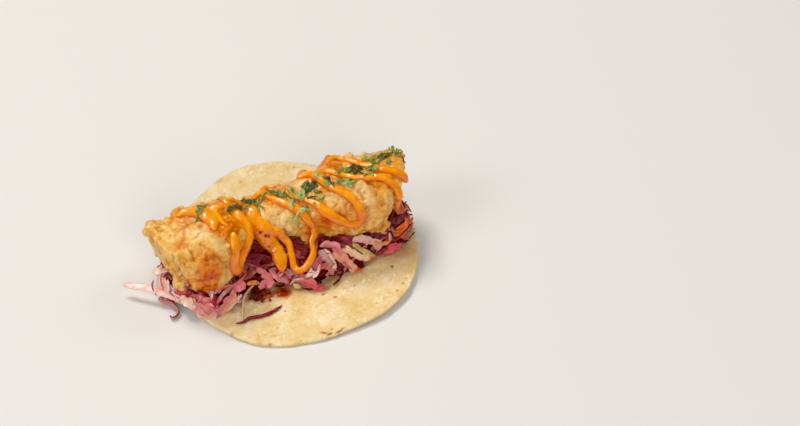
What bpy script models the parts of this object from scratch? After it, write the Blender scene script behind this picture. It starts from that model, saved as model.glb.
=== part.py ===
"""An open fish taco, laid flat: a soft corn tortilla, a heap of cabbage slaw, two battered
goujons of fish laid end to end over it, and squiggles of sauce draped over fish and slaw.

Frame: +X runs along the fish, +Z is up. The origin is the centre of the tortilla's flat
underside. Sizes below are in millimetres; MM turns them into Blender's metres.
"""

import math

import bmesh
import bpy
import numpy as np
from mathutils import Vector, noise
from mathutils.bvhtree import BVHTree

MM = 0.001
CLEARANCE = 0.35  # gap between neighbouring solids

# ---- Tortilla -------------------------------------------------------------------------
TORTILLA_RADIUS = 75.0
TORTILLA_THICKNESS = 2.2
TORTILLA_FLAT_RADIUS = 50.0  # the underside is truly flat out to here
TORTILLA_EDGE_ROUND = 0.7  # how far the rim's rounded edge steps in
# The rim's distance from the middle, in 20 degree steps from +X: nearly round.
TORTILLA_RIM = (72, 71, 70, 71, 74, 75, 71, 70, 71, 72, 72, 74, 76, 73.5, 72, 74, 74, 72)
RAISED_SIDE = math.radians(-22)  # where the rim curls up most
RAISED_LIFT = 3.4
PRESSED_SIDE = math.radians(180)  # where the fish presses the rim down
PRESSED_SPREAD = math.radians(38)
WAVE_COUNT = 5  # gentle waves round the rim
WAVE_LIFT = 0.9

# ---- Fish -----------------------------------------------------------------------------
# A station is (x, centre y, centre z, half width, half height) of one cross-section.
LEFT_STATIONS = (
    (-76, 0, 24.0, 15, 14.5),
    (-70, -4, 25.0, 19, 16.5),
    (-62, -8, 26.0, 22, 18.0),
    (-54, -10, 26.5, 22.5, 19.0),
    (-45, -7, 27.0, 21, 18.5),
    (-38, -3, 28.0, 19, 16.5),
    (-31.5, -1, 28.5, 15.5, 13.5),
)
RIGHT_STATIONS = (
    (-28.5, 4, 27.5, 11, 9.5),
    (-21, 3, 27.5, 13.5, 11.0),
    (-10, 3, 28.0, 15, 12.0),
    (4, 2, 29.0, 16, 13.0),
    (17, 1, 30.5, 18.5, 15.0),
    (30, 1, 31.5, 21, 17.5),
    (43, 0, 32.0, 21.5, 18.0),
    (54, 1, 32.5, 20.5, 17.0),
    (61, 3, 32.5, 17.5, 14.5),
)
# A knob is a lump of batter: (x, y, z of its middle, how far it stands out, its radius).
LEFT_KNOBS = (
    (-82, 4, 36, 5.0, 5.0),
    (-72, -16, 34, 1.5, 7.0),
    (-72, -16, 10, 4.0, 7.0),
    (-60, 8, 44, 1.0, 6.0),
    (-36, 9, 42, 3.0, 6.0),
    (-50, -26, 20, 2.0, 6.0),
)
RIGHT_KNOBS = (
    (-14, -10, 18, 3.0, 5.0),
    (-2, -14, 22, 2.5, 5.0),
    (30, 16, 44, 2.0, 6.0),
    (34, -20, 17, 3.0, 5.0),
    (50, -20, 20, 2.0, 6.0),
    (67, -2, 44, 2.5, 8.0),
)
SECTION_POWER = 2.8  # 2 is an ellipse, more is boxier
# How far each end face is out of square: by height, then by depth.
LEFT_FACE_LEAN = (-0.22, -0.10)
RIGHT_FACE_LEAN = (0.42, 0.28)
FACE_LEAN_REACH = 18.0
END_DOME = ((1.4, 0.84), (2.6, 0.5))  # each ring beyond an end: how far out, how large
CRUST_WAVELENGTH = 13.0
CRUST_HEIGHT = 1.7
CRUST_FINE_WAVELENGTH = 5.5
CRUST_FINE_HEIGHT = 0.6
SEGMENTS_ROUND = 24
RING_SPACING = 3.5

# ---- Slaw -----------------------------------------------------------------------------
# The heap's rim as (x, y) points, and the ridge it falls away from on every side.
SLAW_RIM = (
    (-79, -9), (-77, -18), (-72, -25), (-65, -32), (-56, -37), (-47, -35), (-38, -30),
    (-28, -27), (-18, -27), (-9, -29), (0, -34), (8, -35), (16, -29), (26, -28),
    (34, -27), (42, -22), (50, -20), (58, -21), (65, -16), (70, -9), (71, -1), (66, 8),
    (55, 12), (38, 14), (18, 15), (-5, 15), (-28, 14), (-50, 12), (-67, 11), (-78, 5),
)
SLAW_RIDGE = ((-62, -8), (56, -3))
SLAW_CROWN = 21.0  # height of the ridge above the tortilla
SLAW_EDGE = 1.5  # thickness where the heap peters out
SLAW_FALL = 0.75  # power of the fall from ridge to rim: less is fuller
SLAW_LUMP_WAVELENGTH = 9.0
SLAW_LUMP_HEIGHT = 3.2
SLAW_SPOKES = 50
SLAW_RINGS = 7

# ---- Loose shreds of cabbage ------------------------------------------------------------
# Each is a strip: its colour, the (x, y, z) of its middle line, then its half width.
SHREDS = {
    "long": (
        "pink_cabbage",
        ((-100, -2, 8), (-94, -7, 8.5), (-87, -13, 8), (-81, -18, 7), (-75, -23, 5.6)),
        2.3,
    ),
    "curl": (
        "purple_cabbage",
        (
            (-84, -20, 5.0), (-81.5, -16.5, 4.2), (-78, -17.5, 2.6), (-75.5, -21.5, 1.4),
            (-74.6, -27, 1.1), (-77, -31, 1.1), (-80, -30, 1.1),
        ),
        1.5,
    ),
    "flat": (
        "purple_cabbage",
        ((-47, -47, 3.3), (-40, -47.5, 3.5), (-33, -45.5, 3.7), (-26, -44, 3.6), (-19, -42, 3.4)),
        1.3,
    ),
}
SHRED_HALF_THICKNESS = 0.75

# ---- Sauce ------------------------------------------------------------------------------
# Each run is a line of (x, y, z, half width), snapped onto the food it passes over.
SAUCE_RUNS = {
    "sauce_blob": (
        (-65, 6, 42, 1.6), (-60, 6, 43, 3.4), (-54, 6, 43, 4.0), (-49, 2, 45, 4.2),
        (-47, -5, 46, 4.0), (-46, -12, 46, 3.0), (-46, -18, 44, 1.2),
    ),
    "sauce_smear": ((-41, 6, 44, 1.4), (-40, -2, 45, 1.8), (-40, -9, 45, 1.8), (-38, -13, 44, 1.4)),
    "sauce_left_loop": (
        (-39, -18, 43, 1.6), (-38, -22, 40, 2.4), (-39, -25, 35, 2.8), (-40, -26, 28, 3.0),
        (-39, -26, 22, 3.2), (-36, -25, 18, 3.0), (-33, -23, 20, 2.9), (-31, -20, 26, 2.8),
        (-30, -17, 32, 2.7), (-30, -12, 37, 2.6), (-31, -5, 42, 2.4), (-32, 3, 44, 2.2),
        (-35, 9, 45, 1.6),
    ),
    "sauce_middle_drip": (
        (-21, 11, 39, 2.0), (-22, 4, 39, 2.6), (-22, -3, 38, 3.4), (-20, -9, 36, 4.2),
        (-17, -14, 31, 4.2), (-16, -17, 26, 3.4), (-15, -20, 22, 3.2), (-14, -24, 18, 3.2),
        (-13, -27, 13, 2.0),
    ),
    "sauce_middle_loop": (
        (-11.5, -14, 31, 1.8), (-9, -17, 27, 2.4), (-8, -20, 23, 2.5), (-7, -24, 18, 2.8),
        (-6, -27, 14, 3.2), (-2, -28, 14, 3.4), (2, -27, 17, 3.2), (6, -23, 21, 2.6),
        (7.5, -18, 26, 2.2), (7, -15, 31, 2.6), (5, -13, 36, 2.8), (2, -9, 40, 2.8),
        (-3, -4, 41, 2.6), (-7, 1, 41, 2.6), (-11, 7, 41, 2.6), (-13, 13, 39, 2.6),
        (-9, 17, 37, 2.4), (-4, 15, 39, 2.0),
    ),
    "sauce_long_loop": (
        (8, 14, 42, 1.8), (14, 12, 45, 2.6), (18, 5, 47, 2.8), (20, -2, 48, 3.0),
        (24, -8, 48, 3.2), (29, -13, 47, 3.2), (33, -18, 43, 3.2), (35, -21, 37, 3.2),
        (34, -22, 31, 3.2), (30, -22, 28, 3.2), (26, -21, 31, 3.2), (21, -19, 36, 3.2),
        (16, -15, 40, 3.2), (11, -10, 43, 2.8), (6, -4, 43, 2.4), (1, 1, 43, 2.4),
        (-2, 6, 43, 1.6),
    ),
    "sauce_back_loop": (
        (26, 12, 49, 2.2), (28, 15, 49, 2.6), (33, 17, 49, 2.6), (38, 12, 50, 2.6),
        (43, 4, 51, 2.8), (48, 0, 52, 2.8), (53, -3, 52, 2.8), (58, -6, 51, 2.8),
        (63, -9, 49, 2.8), (67, -10, 45, 2.8), (68.5, -10, 40, 2.0),
    ),
    "sauce_corner_drip": (
        (22, 8, 48, 1.8), (26, 5, 50, 2.4), (32, -1, 51, 2.4), (38, -6, 51, 2.4),
        (44, -9, 51, 2.6), (49, -9, 51, 2.8), (54, -13, 49, 3.0), (58, -16, 45, 3.0),
        (60, -18, 40, 3.0), (60, -18, 34, 2.4), (59.5, -18, 28, 1.2),
    ),
}
SAUCE_THICKNESS = 0.58  # of its half width
SAUCE_LIFT = 0.30  # how far the bead's middle rides above the surface, of its half width
SAUCE_SNAP = (3.5, 7.0)  # fully snapped within the first distance, hanging free past the second
SAUCE_STEP = 3.5
SAUCE_SIDES = 8

COLOURS = {
    "tortilla": ((0.78, 0.60, 0.33), 0.75),
    "fish": ((0.66, 0.42, 0.16), 0.5),
    "slaw": ((0.42, 0.08, 0.16), 0.4),
    "pink_cabbage": ((0.76, 0.34, 0.36), 0.35),
    "purple_cabbage": ((0.20, 0.02, 0.07), 0.3),
    "sauce": ((0.86, 0.33, 0.02), 0.25),
}


def clear_scene():
    for obj in list(bpy.data.objects):
        bpy.data.objects.remove(obj)


def material(kind):
    """One Principled material for each kind of food."""
    found = bpy.data.materials.get(kind)
    if found:
        return found
    colour, roughness = COLOURS[kind]
    made = bpy.data.materials.new(kind)
    made.use_nodes = True
    shader = made.node_tree.nodes["Principled BSDF"]
    shader.inputs["Base Color"].default_value = (*colour, 1)
    shader.inputs["Roughness"].default_value = roughness
    shader.inputs["Metallic"].default_value = 0
    return made


def add_solid(name, kind, points, faces):
    """A named object from points in millimetres. Its faces are turned to point outwards."""
    mesh = bpy.data.meshes.new(name)
    mesh.from_pydata([Vector(p) * MM for p in points], [], faces)
    bm = bmesh.new()
    bm.from_mesh(mesh)
    bmesh.ops.triangulate(bm, faces=bm.faces)
    bmesh.ops.recalc_face_normals(bm, faces=bm.faces)
    bm.to_mesh(mesh)
    bm.free()
    mesh.shade_smooth()
    mesh.materials.append(material(kind))
    obj = bpy.data.objects.new(name, mesh)
    bpy.context.scene.collection.objects.link(obj)
    return obj


def skin_rings(rings, fanned=True):
    """Faces that join rings of equal size. Each end is a fan to a hub, or one flat face."""
    count = len(rings[0])
    points = [p for ring in rings for p in ring]
    faces = []
    for r in range(len(rings) - 1):
        for s in range(count):
            a, b = r * count + s, r * count + (s + 1) % count
            faces.append((a, b, b + count, a + count))
    for ring, first in ((rings[0], 0), (rings[-1], (len(rings) - 1) * count)):
        if fanned:
            points.append(sum(map(Vector, ring), Vector()) / count)
            hub = len(points) - 1
            faces += [(first + s, first + (s + 1) % count, hub) for s in range(count)]
        else:
            faces.append(tuple(range(first, first + count)))
    return points, faces


def smooth_path(points, step):
    """Points every step along a centripetal-like cubic through the given ones."""
    knots = np.array(points, float)
    chord = np.r_[0, np.cumsum(np.linalg.norm(np.diff(knots, axis=0), axis=1))]
    slopes = np.gradient(knots, chord, axis=0)
    count = max(3, int(round(chord[-1] / step)) + 1)
    path = []
    for at in np.linspace(0, chord[-1], count):
        i = min(int(np.searchsorted(chord, at, side="right")) - 1, len(knots) - 2)
        span = chord[i + 1] - chord[i]
        t = (at - chord[i]) / span
        path.append(
            (2 * t**3 - 3 * t**2 + 1) * knots[i]
            + (t**3 - 2 * t**2 + t) * span * slopes[i]
            + (3 * t**2 - 2 * t**3) * knots[i + 1]
            + (t**3 - t**2) * span * slopes[i + 1]
        )
    return np.array(path)


# ---- Tortilla -------------------------------------------------------------------------


def rim_radius(angle):
    """The rim's distance from the middle, as a smooth closed curve through the named ones."""
    count = len(TORTILLA_RIM)
    at = (angle / (2 * math.pi) * count) % count
    i, t = int(at), at - int(at)
    before, here, after, beyond = (TORTILLA_RIM[(i + k) % count] for k in (-1, 0, 1, 2))
    rise, bend = after - before, 2 * before - 5 * here + 4 * after - beyond
    return here + 0.5 * t * (rise + t * (bend + t * (3 * (here - after) + beyond - before)))


def turned_from(angle, side):
    """How far angle is from side, from 0 to pi."""
    return abs((angle - side + math.pi) % (2 * math.pi) - math.pi)


def tortilla_lift(x, y):
    """How far the tortilla curls up above its flat middle at (x, y)."""
    beyond = (math.hypot(x, y) - TORTILLA_FLAT_RADIUS) / (TORTILLA_RADIUS - TORTILLA_FLAT_RADIUS)
    if beyond <= 0:
        return 0.0
    angle = math.atan2(y, x)
    raised = max(0.0, math.cos(turned_from(angle, RAISED_SIDE))) ** 2
    edge = RAISED_LIFT * raised + WAVE_LIFT * (1 + math.cos(WAVE_COUNT * angle)) / 2
    pressed = math.exp(-((turned_from(angle, PRESSED_SIDE) / PRESSED_SPREAD) ** 2))
    return edge * (1 - pressed) * min(beyond, 1.0) ** 2


def build_tortilla():
    segments = 54
    shares = (0.30, TORTILLA_FLAT_RADIUS / TORTILLA_RADIUS, 0.80, 0.91)
    edge = TORTILLA_EDGE_ROUND

    def ring(share, height, inset=0.0):
        made = []
        for s in range(segments):
            angle = 2 * math.pi * s / segments
            radius = share * rim_radius(angle) - inset
            x, y = radius * math.cos(angle), radius * math.sin(angle)
            made.append((x, y, height + tortilla_lift(x, y)))
        return made

    under = [ring(share, 0) for share in shares]
    rim = [
        ring(1, 0, edge),
        ring(1, TORTILLA_THICKNESS * 0.35),
        ring(1, TORTILLA_THICKNESS * 0.65),
        ring(1, TORTILLA_THICKNESS, edge),
    ]
    over = [ring(share, TORTILLA_THICKNESS) for share in reversed(shares)]
    return add_solid("tortilla", "tortilla", *skin_rings(under + rim + over))


# ---- Fish -----------------------------------------------------------------------------


def crust(point, seed):
    """How far the batter stands out at a point, from two sizes of lump."""
    p = Vector(point)
    coarse = noise.noise(p / CRUST_WAVELENGTH + Vector((seed, 0, 0)))
    fine = noise.noise(p / CRUST_FINE_WAVELENGTH + Vector((0, seed, 0)))
    return CRUST_HEIGHT * coarse + CRUST_FINE_HEIGHT * fine


def signed_power(value, power):
    return math.copysign(abs(value) ** power, value)


def build_goujon(name, stations, knobs, seed, start_lean=(0, 0), end_lean=(0, 0)):
    """A battered strip of fish: boxy sections along X, domed ends, lumps and knobs."""
    table = np.array(stations, float)
    start, end = table[0, 0], table[-1, 0]
    ring_count = int((end - start) / RING_SPACING) + 1
    slopes_at = np.gradient(table, table[:, 0], axis=0)
    rings = []
    for i in range(ring_count):
        x = start + (end - start) * i / (ring_count - 1)
        k = min(int(np.searchsorted(table[:, 0], x, side="right")) - 1, len(table) - 2)
        span = table[k + 1, 0] - table[k, 0]
        t = (x - table[k, 0]) / span
        _, cy, cz, half_width, half_height = (
            (2 * t**3 - 3 * t**2 + 1) * table[k]
            + (t**3 - 2 * t**2 + t) * span * slopes_at[k]
            + (3 * t**2 - 2 * t**3) * table[k + 1]
            + (t**3 - t**2) * span * slopes_at[k + 1]
        )
        near_start = max(0.0, 1 - (x - start) / FACE_LEAN_REACH)
        near_end = max(0.0, 1 - (end - x) / FACE_LEAN_REACH)
        lean = Vector(start_lean) * near_start + Vector(end_lean) * near_end
        rings.append(section(x, cy, cz, half_width, half_height, lean))
    rings = [domed(rings[0], -out, share) for out, share in reversed(END_DOME)] + rings
    last = rings[-1]
    rings += [domed(last, out, share) for out, share in END_DOME]
    middle_of = [sum(map(Vector, ring), Vector()) / len(ring) for ring in rings]
    lumpy = []
    for ring, middle in zip(rings, middle_of):
        made = []
        for point in ring:
            out = (Vector(point) - middle).normalized()
            made.append(Vector(point) + out * (crust(point, seed) + knob_height(point, knobs)))
        lumpy.append(made)
    return add_solid(name, "fish", *skin_rings(lumpy))


def section(x, cy, cz, half_width, half_height, lean):
    """One cross-section of a goujon, leaning along X by height and by depth."""
    ring = []
    for s in range(SEGMENTS_ROUND):
        angle = 2 * math.pi * s / SEGMENTS_ROUND
        y = cy + half_width * signed_power(math.cos(angle), 2 / SECTION_POWER)
        z = cz + half_height * signed_power(math.sin(angle), 2 / SECTION_POWER)
        ring.append((x + lean[0] * (z - cz) + lean[1] * (y - cy), y, z))
    return ring


def domed(ring, out, share):
    """A smaller copy of an end ring, out along X, which rounds that end off."""
    middle = sum(map(Vector, ring), Vector()) / len(ring)
    return [middle + (Vector(p) - middle) * share + Vector((out, 0, 0)) for p in ring]


def knob_height(point, knobs):
    height = 0.0
    for x, y, z, out, radius in knobs:
        away = (Vector(point) - Vector((x, y, z))).length
        height += out * math.exp(-((away / radius) ** 2))
    return height


# ---- Booleans with a clearance -----------------------------------------------------------


def grown_copy(obj, by):
    """A hidden copy of obj pushed out along its normals, for cutting its neighbours."""
    mesh = obj.data.copy()
    for vertex, normal in [(v, v.normal.copy()) for v in mesh.vertices]:
        vertex.co += normal * by * MM
    cutter = bpy.data.objects.new(obj.name + "_cutter", mesh)
    bpy.context.scene.collection.objects.link(cutter)
    cutter.hide_render = True
    cutter.display_type = "WIRE"
    return cutter


def cut(obj, cutter):
    modifier = obj.modifiers.new("clear_of_" + cutter.name, "BOOLEAN")
    modifier.operation = "DIFFERENCE"
    modifier.solver = "EXACT"
    modifier.object = cutter


# ---- Slaw -----------------------------------------------------------------------------


def closed_outline(corners, count):
    """Evenly numbered points round a smooth closed curve through the corners."""
    outline = []
    for step in range(count):
        at = step * len(corners) / count
        i, t = int(at), at - int(at)
        p, q, r, s = (Vector(corners[(i + k) % len(corners)]) for k in (-1, 0, 1, 2))
        outline.append(q + 0.5 * t * (r - p + t * (2 * p - 5 * q + 4 * r - s + t * (3 * (q - r) + s - p))))
    return outline


def ridge_point(point):
    """The point of the heap's ridge nearest to (x, y)."""
    start, end = (Vector(p) for p in SLAW_RIDGE)
    along = (point - start).dot(end - start) / (end - start).length_squared
    return start + (end - start) * min(1.0, max(0.0, along))


def slaw_height(x, y, share):
    """Height of the heap above the tortilla, share being 0 at the ridge and 1 at the rim."""
    lump = noise.noise(Vector((x, y, 0)) / SLAW_LUMP_WAVELENGTH)
    return SLAW_EDGE + (SLAW_CROWN + SLAW_LUMP_HEIGHT * lump) * (1 - share**2) ** SLAW_FALL


def build_slaw():
    """The heap out to its uneven outline, lying on the tortilla."""
    rim = closed_outline(SLAW_RIM, SLAW_SPOKES)
    over, under = [], []
    for r in range(1, SLAW_RINGS + 1):
        share = r / SLAW_RINGS
        top_ring, low_ring = [], []
        for point in rim:
            inner = ridge_point(point)
            x, y = inner + (point - inner) * share
            floor = TORTILLA_THICKNESS + CLEARANCE + tortilla_lift(x, y)
            low_ring.append((x, y, floor))
            top_ring.append((x, y, floor + slaw_height(x, y, share)))
        over.append(top_ring)
        under.append(low_ring)
    rings = under + list(reversed(over))
    return add_solid("slaw", "slaw", *skin_rings(rings, fanned=False))


# ---- Shreds -----------------------------------------------------------------------------


def build_strip(name, kind, points, half_width):
    """A flat-lying strip through the points, with narrowed ends."""
    path = smooth_path(points, 3.0)
    along = np.gradient(path, axis=0)
    rings = []
    for i, (middle, way) in enumerate(zip(path, along)):
        way = Vector(way).normalized()
        side = way.cross(Vector((0, 0, 1))).normalized()
        up = side.cross(way)
        narrow = 0.45 if i in (0, len(path) - 1) else 1.0
        ring = []
        for s in range(6):
            angle = 2 * math.pi * (s + 0.5) / 6
            across = side * half_width * narrow * math.cos(angle)
            ring.append(Vector(middle) + across + up * SHRED_HALF_THICKNESS * math.sin(angle))
        rings.append(ring)
    return add_solid(name, kind, *skin_rings(rings))


# ---- Sauce ------------------------------------------------------------------------------


def surface_of(objects):
    """A search tree over the finished surfaces of some objects, in millimetres."""
    graph = bpy.context.evaluated_depsgraph_get()
    points, faces = [], []
    for obj in objects:
        mesh = obj.evaluated_get(graph).to_mesh()
        first = len(points)
        points += [v.co / MM for v in mesh.vertices]
        faces += [[first + v for v in face.vertices] for face in mesh.polygons]
    return BVHTree.FromPolygons(points, faces)


def lay_on(surface, point, half_width):
    """The bead's middle where it lies on the surface, and which way is up from there."""
    spot, normal, _, away = surface.find_nearest(point)
    near, far = SAUCE_SNAP
    held = min(1.0, max(0.0, (far - away) / (far - near)))
    laid = spot + normal * SAUCE_LIFT * half_width
    outward = (Vector(point) - spot).normalized() if away > near else normal
    return laid.lerp(Vector(point), 1 - held), outward


def softened(vectors, times=1):
    """The same list with each inner vector moved towards its neighbours' mean."""
    for _ in range(times):
        inner = [(a + 2 * b + c) / 4 for a, b, c in zip(vectors, vectors[1:], vectors[2:])]
        vectors = [vectors[0]] + inner + [vectors[-1]]
    return vectors


def build_sauce(name, run, surface):
    """A bead of sauce along a run, flattened against what it lies on, with blunt ends."""
    path = smooth_path(run, SAUCE_STEP)
    laid = [lay_on(surface, Vector(p[:3]), p[3]) for p in path]
    middles = softened([spot for spot, _ in laid], 2)
    ups = softened([up for _, up in laid], 3)
    widths = [p[3] for p in path]
    ways = [after - before for before, after in zip(middles, middles[2:])]
    ways = [middles[1] - middles[0]] + ways + [middles[-1] - middles[-2]]
    rings = []
    for middle, up, way, half_width in zip(middles, ups, ways, widths):
        side = way.cross(up).normalized()
        rings.append(bead_ring(middle, side, side.cross(way).normalized(), half_width))
    for end, way in ((0, -ways[0].normalized()), (-1, ways[-1].normalized())):
        tip = middles[end] + way * widths[end] * 0.55
        shrunk = [tip + (p - middles[end]) * 0.5 for p in rings[end]]
        rings.insert(0 if end == 0 else len(rings), shrunk)
    return add_solid(name, "sauce", *skin_rings(rings))


def bead_ring(middle, side, up, half_width):
    ring = []
    for s in range(SAUCE_SIDES):
        angle = 2 * math.pi * (s + 0.5) / SAUCE_SIDES
        across = side * half_width * math.cos(angle)
        ring.append(middle + across + up * half_width * SAUCE_THICKNESS * math.sin(angle))
    return ring


def main():
    clear_scene()
    build_tortilla()
    left = build_goujon("fish_left", LEFT_STATIONS, LEFT_KNOBS, 3.0, start_lean=LEFT_FACE_LEAN)
    right = build_goujon("fish_right", RIGHT_STATIONS, RIGHT_KNOBS, 11.0, end_lean=RIGHT_FACE_LEAN)
    left_cutter, right_cutter = grown_copy(left, CLEARANCE), grown_copy(right, CLEARANCE)
    cut(right, left_cutter)
    slaw = build_slaw()
    slaw_cutter = grown_copy(slaw, CLEARANCE)
    cut(slaw, left_cutter)
    cut(slaw, right_cutter)
    surface = surface_of((left, right, slaw))
    for name, run in SAUCE_RUNS.items():
        sauce = build_sauce(name, run, surface)
        for cutter in (left_cutter, right_cutter, slaw_cutter):
            cut(sauce, cutter)
    shreds = [build_strip("shred_" + name, *shred) for name, shred in SHREDS.items()]
    for shred in shreds[:2]:
        cut(shred, slaw_cutter)
    cut(shreds[1], grown_copy(shreds[0], CLEARANCE))


main()
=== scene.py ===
"""Looks for the fish taco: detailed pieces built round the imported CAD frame.

Lengths are millimetres in the row frame until a mesh is made, then metres. Lights and the depth of
light inside a material are in metres from the start.
"""

import math
import random

import bmesh
import bpy
import numpy as np
from mathutils import Matrix, Vector
from mathutils.bvhtree import BVHTree


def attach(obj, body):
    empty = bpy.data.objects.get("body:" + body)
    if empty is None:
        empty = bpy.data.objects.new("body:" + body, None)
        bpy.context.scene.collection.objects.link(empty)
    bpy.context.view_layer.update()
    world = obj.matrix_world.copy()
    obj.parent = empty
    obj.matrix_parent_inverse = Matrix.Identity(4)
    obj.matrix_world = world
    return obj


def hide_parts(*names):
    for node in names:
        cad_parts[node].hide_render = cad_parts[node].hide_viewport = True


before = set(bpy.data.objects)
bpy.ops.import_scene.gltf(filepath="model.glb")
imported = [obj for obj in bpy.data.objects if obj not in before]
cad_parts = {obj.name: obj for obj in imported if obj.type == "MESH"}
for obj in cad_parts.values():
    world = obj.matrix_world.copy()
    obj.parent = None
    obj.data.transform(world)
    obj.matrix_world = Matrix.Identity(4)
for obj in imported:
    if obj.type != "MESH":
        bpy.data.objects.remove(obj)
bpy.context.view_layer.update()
MM = 0.001

# ---- Noise ----

GRADIENTS = np.array(
    [
        (1, 1, 0), (-1, 1, 0), (1, -1, 0), (-1, -1, 0), (1, 0, 1), (-1, 0, 1), (1, 0, -1), (-1, 0, -1),
        (0, 1, 1), (0, -1, 1), (0, 1, -1), (0, -1, -1), (1, 1, 0), (0, -1, 1), (-1, 1, 0), (0, -1, -1),
    ],
    float,
)


def scramble(cells, seed):
    """A fixed pseudo-random whole number for each cell of a lattice."""
    x, y, z = (cells[..., i].astype(np.uint64) for i in range(3))
    mixed = x * np.uint64(0x9E3779B185EBCA87) ^ y * np.uint64(0xC2B2AE3D27D4EB4F)
    mixed ^= z * np.uint64(0x165667B19E3779F9) ^ np.uint64(seed * 7919 + 13)
    mixed ^= mixed >> np.uint64(29)
    mixed *= np.uint64(0xBF58476D1CE4E5B9)
    mixed ^= mixed >> np.uint64(32)
    return mixed


def noise(points, wavelength, seed):
    """Smooth noise of about -1 to 1 at each point."""
    at = np.asarray(points, float) / wavelength
    cell = np.floor(at).astype(np.int64)
    part = at - cell
    fade = part**3 * (part * (part * 6 - 15) + 10)
    total = np.zeros(len(at))
    for corner in np.ndindex(2, 2, 2):
        corner = np.array(corner)
        pick = (scramble(cell + corner, seed) & np.uint64(15)).astype(int)
        weight = np.prod(np.where(corner, fade, 1 - fade), axis=1)
        total += weight * ((part - corner) * GRADIENTS[pick]).sum(1)
    return total * 1.3


def layered(points, *layers):
    """Noises added up, each given as its height, wavelength and seed."""
    return sum(height * noise(points, wavelength, seed) for height, wavelength, seed in layers)


def drift(points, wavelength, seed):
    """A smooth random shift along x, y and z at each point."""
    return np.stack([noise(points, wavelength, seed + i) for i in range(3)], 1)


def blisters(points, size, seed):
    """Distance to the nearest and the second nearest of scattered seeds, in units of size."""
    at = np.asarray(points, float) / size
    cell = np.floor(at).astype(np.int64)
    near, next_near = np.full(len(at), 9.0), np.full(len(at), 9.0)
    for corner in np.ndindex(3, 3, 3):
        here = cell + np.array(corner) - 1
        mixed = scramble(here, seed)
        shift = np.stack([(mixed >> np.uint64(s)) & np.uint64(1023) for s in (0, 10, 20)], 1) / 1024
        away = np.linalg.norm(here + shift - at, axis=1)
        next_near = np.minimum(next_near, np.maximum(near, away))
        near = np.minimum(near, away)
    return near, next_near


def smoothstep(low, high, values):
    """0 up to low, 1 from high, and smooth between. low may be the greater."""
    t = np.clip((values - low) / (high - low), 0, 1)
    return t * t * (3 - 2 * t)


# ---- Meshes ----


def unit(vectors):
    return vectors / np.maximum(np.linalg.norm(vectors, axis=-1, keepdims=True), 1e-9)


def point_normals(points, quads):
    """The outward direction of the skin at each point."""
    a, b, c, d = (points[quads[:, i]] for i in range(4))
    face = np.cross(c - a, d - b)
    total = np.zeros_like(points)
    for i in range(4):
        for axis in range(3):
            total[:, axis] += np.bincount(quads[:, i], face[:, axis], len(points))
    return unit(total)


def neighbour_mean(points, quads, times):
    """The points, each moved to the mean of its neighbours along the quads' sides, times over."""
    ends = np.concatenate([quads[:, [i, (i + 1) % 4]] for i in range(4)])
    count = np.bincount(ends[:, 0], minlength=len(points))[:, None]
    for _ in range(times):
        gathered = [np.bincount(ends[:, 0], points[ends[:, 1], k], len(points)) for k in range(3)]
        points = np.stack(gathered, 1) / np.maximum(count, 1)
    return points


def add_mesh(name, points, faces):
    mesh = bpy.data.meshes.new(name)
    faces = faces.tolist() if isinstance(faces, np.ndarray) else faces
    mesh.from_pydata((np.asarray(points) * MM).tolist(), [], faces)
    mesh.shade_smooth()
    obj = bpy.data.objects.new(name, mesh)
    bpy.context.scene.collection.objects.link(obj)
    return obj


def add_piece(name, points, faces, material, slot, **fields):
    """A piece of the taco. Fields are numbers or colours at each point, for its material."""
    obj = add_mesh(name, points, faces)
    for field, values in fields.items():
        values = np.asarray(values, np.float32)
        kind, key = ("FLOAT", "value") if values.ndim == 1 else ("FLOAT_VECTOR", "vector")
        obj.data.attributes.new(field, kind, "POINT").data.foreach_set(key, values.ravel())
    obj.data.materials.append(material)
    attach(obj, "root")
    return obj


def fused(points, faces, voxel, smoothing):
    """The skin of overlapping closed shapes rebuilt as small even quads."""
    obj = add_mesh("rough", points, faces)
    remesh = obj.modifiers.new("remesh", "REMESH")
    remesh.mode = "VOXEL"
    remesh.voxel_size = voxel * MM
    smooth = obj.modifiers.new("smooth", "SMOOTH")
    smooth.factor = 0.5
    smooth.iterations = smoothing
    mesh = obj.evaluated_get(bpy.context.evaluated_depsgraph_get()).to_mesh()
    points = np.empty(len(mesh.vertices) * 3, np.float32)
    mesh.vertices.foreach_get("co", points)
    quads = np.empty(len(mesh.loops), np.int32)
    mesh.loops.foreach_get("vertex_index", quads)
    points, quads = points.reshape(-1, 3).astype(float) / MM, quads.reshape(-1, 4)
    bpy.data.objects.remove(obj)
    return points, quads


class Bundle:
    """Many closed shapes gathered into one mesh, with fields at each point."""

    def __init__(self):
        self.points, self.faces, self.fields, self.count = [], [], {}, 0

    def add(self, points, faces, **fields):
        self.points.append(np.asarray(points, float))
        self.faces += [tuple(self.count + i for i in face) for face in faces]
        for name, values in fields.items():
            self.fields.setdefault(name, []).append(values)
        self.count += len(points)

    def fused(self, voxel, smoothing):
        return fused(np.concatenate(self.points), self.faces, voxel, smoothing)

    def piece(self, name, material, slot):
        fields = {k: np.concatenate(v) for k, v in self.fields.items()}
        return add_piece(name, np.concatenate(self.points), self.faces, material, slot, **fields)


def tube_faces(rings, sides):
    """Quads round a tube of rings, with a fan to a middle point at each end."""
    faces = []
    for r in range(rings - 1):
        for s in range(sides):
            a, b = r * sides + s, r * sides + (s + 1) % sides
            faces.append((a, b, b + sides, a + sides))
    start, end, last = rings * sides, rings * sides + 1, (rings - 1) * sides
    faces += [(start, (s + 1) % sides, s) for s in range(sides)]
    faces += [(end, last + s, last + (s + 1) % sides) for s in range(sides)]
    return faces


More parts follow.
